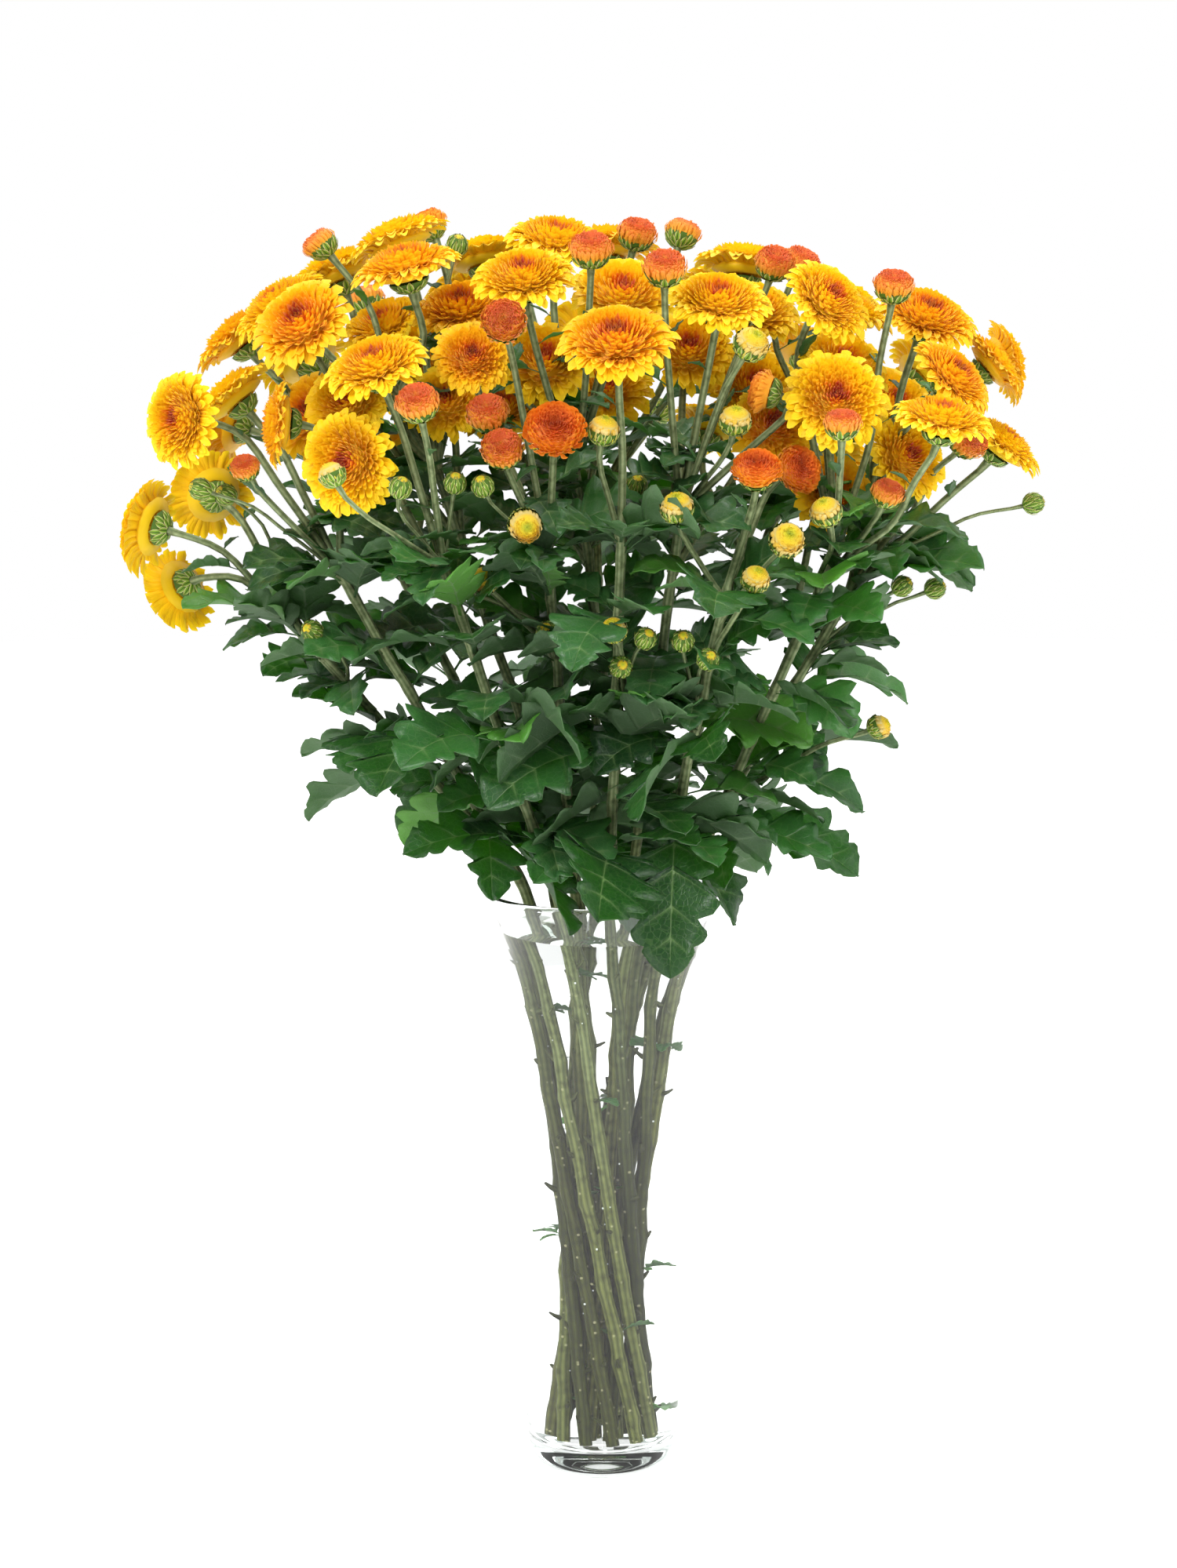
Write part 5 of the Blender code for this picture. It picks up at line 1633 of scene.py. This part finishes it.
@dataclass
class FloweringStem:
    """A cut stem: ribbed wood with swollen nodes and scars, side shoots and foliage. Lengths in cm."""

    plan: StemPlan
    number: int
    growth: Growth
    sides: int = 14
    shoot_sides: int = 8
    ring_gap: float = 0.42
    shoot_gap: float = 0.6
    node_gap: float = 2.0
    node_drift: float = 0.4
    first_node: float = 2.6
    first_leaf: float = 26.9
    # How far from the vase's axis a stub and a sprout may reach.
    inside_vase: float = 3.35
    sprout_reach: float = 2.95
    # One node in so many sprouts. A sprout's leaves: how many, the first one's size and rise in degrees with
    # what each next one lacks of them, the degrees between two, and their arch and roll.
    sprout_gap: int = 12
    sprout_leaves: int = 3
    sprout_size: tuple = (1.35, 0.25)
    sprout_rise: tuple = (30.0, 14.0)
    sprout_turn: float = 52.0
    sprout_arch: float = 45.0
    sprout_roll: float = 25.0
    armpit_leaves: int = 2
    lobed_from: float = 4.6
    shoot_leaf_gap: float = 2.7
    bare_neck: float = 3.4
    # How thick the drawn wood is by its solid: the axis and the side shoots.
    slim: tuple = (0.94, 0.85)
    # A shoot's radius at its fork and what it loses on the way, as shares.
    taper: tuple = (1.08, 0.1)
    # What it gains at its fork, as a share, and at its head, in cm, each with the run that this fades over.
    fork_flare: tuple = (0.55, 0.35)
    seat_flare: tuple = (0.06, 0.22)
    # How far it runs into its head.
    seat_depth: float = 0.12
    # Share of the radius that a node swells by, half the swelling's height, and the zigzag between nodes.
    swelling: tuple = (0.17, 0.3)
    zigzag: float = 0.05
    # A torn stub's radii from its foot, and how far it stands out and up.
    stub_radii: tuple = (0.13, 0.12, 0.08, 0.045)
    stub_reach: tuple = (0.08, 0.42)
    stub_rise: tuple = (0.1, 0.4)
    # Where each kind of leaf starts counting its own chances.
    wood_seed: int = 400
    node_leaf_seed: int = 1000
    shoot_leaf_seed: int = 3000
    narrow_leaf_seed: int = 5000
    sprout_seed: int = 7000

    def __post_init__(self) -> None:
        """Lay the stem's axis finely and find its nodes."""
        self.rng = np.random.default_rng(self.wood_seed + self.number)
        main = next(s for s in self.growth.shoots if s.stem == self.number and s.head < 0)
        self.side_shoots = [s for s in self.growth.shoots if s.stem == self.number and s.head >= 0]
        self.axis = self.evenly(main.points, self.ring_gap)
        self.radii = np.linspace(STEM_RADIUS, STEM_TOP_RADIUS, len(self.axis)) * self.slim[0]
        tops = np.arange(self.first_node, self.axis[-1][2] - 0.5, self.node_gap)
        self.nodes = tops + self.rng.uniform(-self.node_drift, self.node_drift, len(tops))
        self.wood, self.foliage = MeshDraft(), MeshDraft()

    @staticmethod
    def evenly(points: np.ndarray, gap: float) -> np.ndarray:
        """Run a smooth curve through points and cut it at even distances.

        Args:
            points: rows that the curve passes.
            gap: distance between new points.

        Returns:
            The new rows.
        """
        fine = refined(points, 12)
        walked = np.concatenate([[0.0], np.cumsum(np.linalg.norm(np.diff(fine, axis=0), axis=1))])
        marks = np.linspace(0.0, walked[-1], max(int(walked[-1] / gap), 4))
        return np.stack([np.interp(marks, walked, fine[:, i]) for i in range(3)], axis=1)

    def draw_axis(self) -> None:
        """Draw the main axis with a swelling at every node."""
        height = self.axis[:, 2]
        proud, half_height = self.swelling
        swell = np.exp(-((height[:, None] - self.nodes[None, :]) / half_height) ** 2).sum(axis=1)
        radii = self.radii * (1.0 + proud * swell) * (1.0 + self.rng.normal(0.0, 0.015, len(height)))
        radii[-2:] *= (0.9, 0.6)
        bends = np.where(np.arange(len(self.nodes)) % 2, self.zigzag, -self.zigzag)
        away = np.interp(height, self.nodes, bends)
        turn = self.rng.random() * math.pi
        away = np.where(height < self.nodes[0], 0.0, away)
        path = self.axis + away[:, None] * np.array([math.cos(turn), math.sin(turn), 0.0])
        sweep(self.wood, path * CM, radii * CM, self.sides, 0.12, (1.0, self.rng.random()))

    def draw_side_shoots(self) -> None:
        """Draw every side shoot, flared at its fork and at its head's seat."""
        for shoot in self.side_shoots:
            head = self.growth.heads[shoot.head]
            seat = Vector(shoot.points[-1])
            neck = [seat - head.axis() * NECK, seat + head.axis() * self.seat_depth]
            path = self.evenly(np.concatenate([shoot.points[:-1], neck]), self.shoot_gap)
            share = np.linspace(0.0, 1.0, len(path))
            length = self.shoot_gap * len(path)
            scale = SHOOT_SCALE[head.stage]
            thick, loss = self.taper
            radii = 0.5 * (shoot.radii[0] + shoot.radii[1]) * scale * self.slim[1] * (thick - loss * share)
            gain, run = self.fork_flare
            radii *= 1.0 + gain * np.exp(-share * length / run)
            gain, run = self.seat_flare
            radii += gain * scale * np.exp(-(1.0 - share) * length / run)
            sweep(self.wood, path * CM, radii * CM, self.shoot_sides, 0.14, (0.25, self.rng.random()))

    def along_axis(self, height: float) -> tuple[Vector, float]:
        """Give the axis's point and radius at a height."""
        point = at_height(self.axis.tolist(), height)
        return point, float(np.interp(height, self.axis[:, 2], self.radii))

    def draw_scars(self) -> None:
        """Draw a torn leaf stub at each node below the foliage, kept off the glass."""
        for count, height in enumerate(self.nodes[self.nodes < self.first_leaf - 1.2]):
            point, radius = self.along_axis(height)
            turn = count * GOLDEN_ANGLE + self.number
            out = Vector((math.cos(turn), math.sin(turn), 0.0))
            reach = radius + self.rng.uniform(*self.stub_reach)
            if (point + out * reach).xy.length > self.inside_vase:
                out.negate()
            rise = Vector((0.0, 0.0, self.rng.uniform(*self.stub_rise)))
            path = np.array([point + out * radius * 0.6, point + out * radius,
                             point + out * (0.5 * (radius + reach)) + rise * 0.4, point + out * reach + rise])
            radii = np.array(self.stub_radii) * self.rng.uniform(0.8, 1.2)
            sweep(self.wood, path * CM, radii * CM, self.shoot_sides, 0.1, (1.0, 0.2))

    def grow_leaf(self, spot: Vector, azimuth: float, size: float, habit: Habit, shape: LeafShape,
                  seed: int, lift: float = 0.0) -> None:
        """Draw a leaf that stands as its kind does.

        Args:
            spot: its place on the wood.
            azimuth: the way it points.
            size: its length.
            habit: how its kind stands.
            shape: its outline.
            seed: starts its own chances.
            lift: degrees that it rises by besides.
        """
        rise, arch, roll = (self.rng.uniform(*span) for span in habit[:3])
        leaf = Leaf(spot, azimuth, lift + rise, arch, size, size * habit.width, roll, seed, shape)
        leaf.draw(self.foliage)

    def lobed_leaves(self, taken: list) -> None:
        """Draw the leaves at the nodes above the rim, smaller and more upright towards the top.

        A few smaller leaves of a dormant shoot stand in the armpit of each.

        Args:
            taken: heights of nodes that carry a large leaf of their own.
        """
        plan_angle = self.plan.rim_angle
        outer = self.plan.ring == OUTER_RING
        top = self.axis[-1][2]
        for count, height in enumerate(self.nodes[self.nodes >= self.first_leaf]):
            point, radius = self.along_axis(height)
            share = (height - self.first_leaf) / (top - self.first_leaf)
            turn = (math.degrees(count * GOLDEN_ANGLE) + STEM_TURN * self.number + 180.0) % 360.0 - 180.0
            azimuth = plan_angle + turn * (0.62 if outer else 1.0) + self.rng.uniform(-12, 12)
            length = (7.0 - 1.8 * share) * self.rng.uniform(0.85, 1.1)
            elevation = -8.0 + 50.0 * share + self.rng.uniform(-14, 18)
            sizes = [length] + [length * self.rng.uniform(0.5, 0.85) for _ in range(self.armpit_leaves)]
            if any(abs(height - other) < 1.1 for other in taken):
                sizes = sizes[1:]
            for rank, size in enumerate(sizes):
                aside = self.rng.uniform(20.0, 95.0) * (1 if rank % 2 else -1) * min(rank, 1)
                out = polar(radius * 0.8, azimuth + aside, 0.12 * rank)
                self.grow_leaf(point + out, azimuth + aside, size, ARMPIT_HABIT if rank else NODE_HABIT,
                               LeafShape.SMALL if size < self.lobed_from else LeafShape.LOBED,
                               self.node_leaf_seed + 40 * self.number + 4 * count + rank, elevation)

    def shoot_leaves(self) -> None:
        """Draw lobed leaves from every fork up its side shoot, and a narrow one under each open head."""
        for count, shoot in enumerate(self.side_shoots):
            lean = shoot.points[2] - shoot.points[0]
            azimuth = math.degrees(math.atan2(lean[1], lean[0])) + self.rng.uniform(-35, 35)
            length = float(np.linalg.norm(np.diff(shoot.points, axis=0), axis=1).sum())
            marks = np.arange(0.0, max(length - self.bare_neck, 0.1), self.shoot_leaf_gap)
            for rank, mark in enumerate(marks):
                place = self.evenly(shoot.points, 0.25)
                spot = Vector(place[min(int(mark / 0.25), len(place) - 1)])
                size = self.rng.uniform(3.0, 4.8) * (1.0 - 0.5 * mark / max(length, 1.0))
                self.grow_leaf(spot + polar(shoot.radii[0] * 0.7, azimuth, 0.0), azimuth, size, SHOOT_HABIT,
                               LeafShape.SMALL, self.shoot_leaf_seed + 60 * self.number + 5 * count + rank)
                azimuth += self.rng.uniform(100, 220)
            if self.growth.heads[shoot.head].stage in (Stage.BLOOM, Stage.YOUNG, Stage.BUTTON):
                spot = Vector(shoot.points[3]) + polar(shoot.radii[0] * 0.5, azimuth, 0.0)
                size = self.rng.uniform(1.1, 2.1)
                self.grow_leaf(spot, azimuth, size, NARROW_HABIT, LeafShape.NARROW,
                               self.narrow_leaf_seed + 60 * self.number + count)

    def water_sprouts(self) -> None:
        """Draw a tuft of tiny leaves at a few nodes under water, kept off the glass."""
        for count, height in enumerate(self.nodes[self.nodes < self.first_leaf - 3.0]):
            if (5 * count + self.number) % self.sprout_gap:
                continue
            point, radius = self.along_axis(height)
            for rank in range(self.sprout_leaves):
                turn = self.sprout_turn * (rank - 1)
                azimuth = math.degrees(count * GOLDEN_ANGLE) + STEM_TURN * self.number + turn
                spot = point + polar(radius * 0.8, azimuth, 0.0)
                size, rise = (first - lack * rank for first, lack in (self.sprout_size, self.sprout_rise))
                if (spot + polar(size, azimuth, 0.0)).xy.length < self.sprout_reach:
                    Leaf(spot, azimuth, rise, self.sprout_arch, size, size * NODE_HABIT.width,
                         self.sprout_roll * (rank - 1),
                         self.sprout_seed + 60 * self.number + 4 * count + rank,
                         LeafShape.SMALL).draw(self.foliage)

    def build_wood(self, skin: Material) -> Object:
        """Make the wood of the stem as one piece, because it grew as one.

        Args:
            skin: the wood's material.

        Returns:
            The new object.
        """
        self.draw_axis()
        self.draw_side_shoots()
        self.draw_scars()
        return self.wood.build("stem_" + self.plan.name + "_wood", [skin])

    def build_foliage(self, skins: tuple) -> Object:
        """Make all small leaves of the stem as one piece.

        Args:
            skins: materials of a leaf's upper side and underside.

        Returns:
            The new object.
        """
        name = self.plan.name
        self.lobed_leaves([leaf.height for leaf in BIG_LEAVES if leaf.stem == name])
        self.shoot_leaves()
        self.water_sprouts()
        return leaf_piece(self.foliage, "foliage_" + name, skins)


# ============ vase and water
@dataclass
class Vase:
    """Blown glass vase with a thick bottom and a flared rim, and the water in it. Lengths in cm."""

    floor: float = VASE_FLOOR
    wall: float = 0.25
    sides: int = 80
    water_level: float = 24.0
    overlap: float = 0.01
    # Outer radius by height, from the foot up.
    outside: tuple = ((2.6, 0.0), (3.05, 0.35), (3.3, 1.6), (3.55, 5.5), (3.85, 13.0), (3.95, 20.5),
                      (4.1, 22.6), (4.45, 24.0), (4.85, 24.9), (5.2, 25.6))
    # The hollow under the foot, from its middle out.
    hollow: tuple = ((0.05, 0.14), (1.2, 0.13), (2.1, 0.07), (2.4, 0.015))
    inner_bend: float = 1.1
    inner_top: float = 25.55
    wetted_from: float = 0.8

    def outer_wall(self) -> np.ndarray:
        """Give the smooth outside from the foot to just under the rim, as rows of radius and height."""
        return refined(np.array([(r, z, 0.0) for r, z in self.outside]), 5)[:, :2]

    def inner_wall(self, top: float, inset: float) -> np.ndarray:
        """Follow the inside from the floor up, with a rounded corner at the floor.

        Args:
            top: height where it ends.
            inset: how far it stands off the glass; less than nothing sinks it in.

        Returns:
            Rows of radius and height.
        """
        radius, height = self.outer_wall().T
        corner = np.radians(np.linspace(-90.0, 0.0, 9))
        bend, low = self.inner_bend, self.floor + inset
        start = np.interp(low + bend, height, radius) - self.wall - inset
        rounded = np.stack([start - bend + bend * np.cos(corner), low + bend + bend * np.sin(corner)], axis=1)
        above = (height > low + bend + 0.2) & (height < top - 0.05)
        rising = np.stack([radius[above] - self.wall - inset, height[above]], axis=1)
        last = [np.interp(top, height, radius) - self.wall - inset, top]
        return np.concatenate([rounded, rising, [last]])

    def use_second_skin(self, piece: Object, low: float, high: float, level: bool) -> None:
        """Give the second material to some of the faces between two heights.

        Args:
            piece: the piece.
            low: the lower height.
            high: the upper height.
            level: True for faces that look at the axis or straight up, False for all but those that look
                straight up.
        """
        mesh = piece.data
        middles, normals = np.empty((2, len(mesh.polygons), 3))
        mesh.polygons.foreach_get("center", middles.ravel())
        mesh.polygons.foreach_get("normal", normals.ravel())
        flat = normals[:, 2] > 0.9
        inward = (middles[:, :2] * normals[:, :2]).sum(axis=1) < 0.0
        chosen = (inward | flat) if level else ~flat
        chosen &= (middles[:, 2] > low * CM) & (middles[:, 2] < high * CM)
        mesh.polygons.foreach_set("material_index", chosen.astype(np.int32))

    def build_glass(self, *glass: Material) -> Object:
        """Turn the vase: foot, wall, rounded rim, inside.

        Args:
            glass: the materials of its dry and its wetted faces.

        Returns:
            The new object.
        """
        outer = self.outer_wall()
        inner = self.inner_wall(self.inner_top, 0.0)
        edge, lip = outer[-1], inner[-1]
        middle, half = 0.5 * (edge + lip), 0.5 * np.linalg.norm(edge - lip)
        tilt = math.atan2(edge[1] - lip[1], edge[0] - lip[0])
        round_rim = [middle + half * np.array([math.cos(tilt + a), math.sin(tilt + a)])
                     for a in np.radians(np.linspace(18.0, 162.0, 9))]
        profile = np.concatenate([self.hollow, outer, round_rim, inner[::-1], [(0.05, self.floor + 0.05)]])
        draft = MeshDraft()
        draft.turned_body(turned(profile * CM, self.sides))
        piece = draft.build("vase_glass", list(glass))
        self.use_second_skin(piece, self.wetted_from, self.water_level, True)
        return piece

    def build_water(self, *water: Material) -> Object:
        """Fill the vase; the water sinks a hair into the glass, so that no air shows between them.

        Args:
            water: the materials of its top and of the side on the glass.

        Returns:
            The new object.
        """
        level = self.water_level
        side = self.inner_wall(level, -self.overlap)
        edge = side[-1][0]
        skin = [(edge * share, level) for share in (0.7, 0.4, 0.02)]
        profile = np.concatenate([[(0.05, self.floor - self.overlap)], side, skin])
        draft = MeshDraft()
        draft.turned_body(turned(profile * CM, self.sides))
        piece = draft.build("vase_water", list(water))
        self.use_second_skin(piece, 0.0, self.water_level + 1.0, False)
        return piece


@dataclass
class AirBubbles:
    """Small bubbles that cling to the stems under water. Lengths in cm."""

    stems: list
    count: int = 100
    low: float = 2.4
    high: float = 23.2
    radii: tuple = (0.018, 0.05)
    rings: int = 5
    sides: int = 7
    seed: int = 77

    def build(self, skin: Material) -> Object:
        """Scatter the bubbles over the stems.

        Args:
            skin: their material.

        Returns:
            The new object.
        """
        rng = np.random.default_rng(self.seed)
        draft = MeshDraft()
        for _ in range(self.count):
            stem = self.stems[rng.integers(len(self.stems))]
            point, stem_radius = stem.along_axis(rng.uniform(self.low, self.high))
            radius = rng.uniform(*self.radii)
            middle = point + polar(stem_radius + radius * 0.7, rng.uniform(0, 360), 0.0)
            turn = np.radians(np.linspace(-75.0, 75.0, self.rings))
            ball = turned(np.stack([radius * np.cos(turn), radius * np.sin(turn)], axis=1), self.sides)
            draft.turned_body((ball + np.array(middle)) * CM)
        return draft.build("air_bubbles", [skin])


# ============ studio
@dataclass
class Studio:
    """Pale floor, soft lights and the camera. Lengths in metres."""

    floor_radius: float = 3.2
    camera_place: tuple = (-0.006, -1.50, 0.54)
    camera_pitch: float = 9.0
    lens: float = 81.04
    sensor: float = 36.0
    lights_aim: tuple = (0.0, 0.0, 0.35)
    front_sky: float = 0.45
    # Soft boxes: name, place, size and watts.
    soft_boxes: tuple = (("key_light", (-1.3, -1.7, 1.9), 1.2, 52.0),
                         ("fill_light", (1.6, -1.4, 1.2), 1.2, 24.0),
                         ("top_light", (0.2, 0.5, 2.2), 1.4, 28.0))

    def build_floor(self) -> Object:
        """Lay the floor as a round sheet that ripples by less than a hair.

        Returns:
            The floor.
        """
        reach = np.linspace(0.02, self.floor_radius, 24)
        profile = np.stack([reach, -0.0002 - 0.0001 * np.sin(reach * 9.0)], axis=1)
        draft = MeshDraft()
        grid = turned(profile, 48)
        draft.sheets(grid, PLAIN, 0, closed=True)
        draft.cap(grid[0, 0], PLAIN, 0)
        floor = draft.build("studio_floor", [StudioPaper().make()])
        floor.data.flip_normals()
        return floor

    def add_lights(self) -> None:
        """Hang the soft boxes round the bunch and light the room evenly."""
        for name, place, size, watts in self.soft_boxes:
            light = bpy.data.lights.new(name, "AREA")
            light.size = size
            light.energy = watts
            lamp = bpy.data.objects.new(name, light)
            lamp.location = place
            aim = Vector(self.lights_aim) - Vector(place)
            lamp.rotation_euler = aim.to_track_quat("-Z", "Y").to_euler()
            bpy.context.scene.collection.objects.link(lamp)
        world = bpy.data.worlds.new("white_room")
        world.use_nodes = True
        tree = world.node_tree
        room = tree.nodes["Background"]
        towards = node(tree, "SeparateXYZ", node(tree, "TexCoord").outputs["Generated"])
        share = node(tree, "MapRange", towards.outputs["Y"], -0.75, 0.1, self.front_sky, 1.0)
        seen = node(tree, "LightPath").outputs["Is Camera Ray"]
        strength = node(tree, "Math", share, seen, operation="MAXIMUM")
        tree.links.new(strength.outputs[0], room.inputs["Strength"])
        room.inputs["Color"].default_value = (1.0, 1.0, 1.0, 1.0)
        bpy.context.scene.world = world

    def add_camera(self) -> None:
        """Set the camera up, looking a little down."""
        lens = bpy.data.cameras.new("camera")
        lens.lens = self.lens
        lens.sensor_width = self.sensor
        camera = bpy.data.objects.new("camera", lens)
        camera.location = self.camera_place
        camera.rotation_euler = (math.radians(90.0 - self.camera_pitch), 0.0, 0.0)
        bpy.context.scene.collection.objects.link(camera)
        bpy.context.scene.camera = camera

    def build(self) -> None:
        """Build the studio and let colours come out as they are."""
        self.build_floor()
        self.add_lights()
        self.add_camera()
        view = bpy.context.scene.view_settings
        view.view_transform = "Standard"
        view.look = "None"


# ============ the bunch
@dataclass
class Bunch:
    """The whole bouquet in its vase, built piece by piece."""

    growth: Growth
    big_leaf_arch: float = 40.0
    tone_seed: int = 5
    head_seed: int = 100
    big_leaf_seed: int = 900
    stems: list = field(init=False)

    def __post_init__(self) -> None:
        """Lay every stem and make the finishes."""
        self.stems = [FloweringStem(plan, number, self.growth) for number, plan in enumerate(STEMS)]
        self.leaf_skins = tuple(LeafSkin(side).make() for side in LeafSide)
        self.green = BractSkin().make()
        self.petals = {tone: FloretSkin(tone).make() for tone in FloretTone}

    @staticmethod
    def enter(piece: Object, slot: str, *stands_for: str) -> None:
        """Hand a finished piece to the frame.

        Args:
            piece: the piece.
            slot: the material slot of the record; not used.
            stands_for: names of the solids that it shows.
        """
        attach(piece, "root")
        if stands_for:
            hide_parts(*stands_for)
        log.info("%s: %d faces", piece.name, len(piece.data.polygons))

    def build_vase(self) -> None:
        """Build the vase, the water and the bubbles in it."""
        vase = Vase()
        glass, wetted, water = (ClearBody(kind).make() for kind in ClearKind)
        self.enter(vase.build_glass(glass, wetted), "glass", "vase")
        self.enter(vase.build_water(water, WaterAtGlass().make()), "water", "water")
        self.enter(AirBubbles(self.stems).build(AirBubble().make()), "water")

    def build_stems(self) -> None:
        """Build the wood and the foliage of every stem."""
        skin = StemSkin().make()
        for stem in self.stems:
            self.enter(stem.build_wood(skin), "stem", "stem_" + stem.plan.name)
            self.enter(stem.build_foliage(self.leaf_skins), "leaf")

    def build_large_leaves(self) -> None:
        """Build the large leaves that have solids of their own."""
        by_name = {stem.plan.name: stem for stem in self.stems}
        for number, plan in enumerate(BIG_LEAVES):
            point, radius = by_name[plan.stem].along_axis(plan.height)
            start = point + polar(radius * 0.8, plan.azimuth, 0.0)
            draft, arch = MeshDraft(), self.big_leaf_arch
            Leaf(start, plan.azimuth, -plan.droop + 0.5 * arch, arch, plan.length, plan.width, plan.roll,
                 self.big_leaf_seed + number).draw(draft)
            self.enter(leaf_piece(draft, plan.name + "_blade", self.leaf_skins), "leaf", plan.name)

    @staticmethod
    def tone_of(head: Head, chance: float) -> FloretTone:
        """Choose the florets' tone by how far the head has opened.

        Args:
            head: its plan.
            chance: a number from 0 to 1.

        Returns:
            The tone.
        """
        if head.stage in (Stage.BLOOM, Stage.INNER):
            return FloretTone.GOLD if chance < 0.7 and head.size > 0.8 else FloretTone.AMBER
        if head.stage is Stage.YOUNG:
            return FloretTone.APRICOT
        return FloretTone.RUSSET if head.stage is Stage.BUTTON else FloretTone.LEMON

    def build_heads(self) -> None:
        """Build every open bloom as a piece, and the smaller heads of each stem as one piece."""
        rng = np.random.default_rng(self.tone_seed)
        count = 0
        for stem in STEMS:
            blooms = 0
            small, skins = MeshDraft(), [self.green]
            for head in stem.heads:
                tone = self.tone_of(head, rng.random())
                flower = FlowerHead(head, self.growth.middles[count], self.head_seed + count)
                count += 1
                if head.stage is Stage.BLOOM:
                    blooms += 1
                    draft = MeshDraft()
                    flower.draw(draft, 0, 1)
                    name = f"bloom_{stem.name}_{blooms}"
                    self.enter(draft.build(name + "_florets", [self.petals[tone], self.green]), "petal", name)
                    continue
                if self.petals[tone] not in skins:
                    skins.append(self.petals[tone])
                flower.draw(small, skins.index(self.petals[tone]), 0)
            if small.total:
                self.enter(small.build("heads_" + stem.name, skins), "petal")


def main() -> None:
    """Grow the bunch, build its pieces in order and set up the studio."""
    logging.basicConfig(level=logging.INFO, format="%(name)s: %(message)s")
    bunch = Bunch(Growth(STEMS))
    bunch.build_vase()
    bunch.build_stems()
    bunch.build_large_leaves()
    bunch.build_heads()
    Studio().build()
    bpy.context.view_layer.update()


if __name__ == "__main__":
    main()
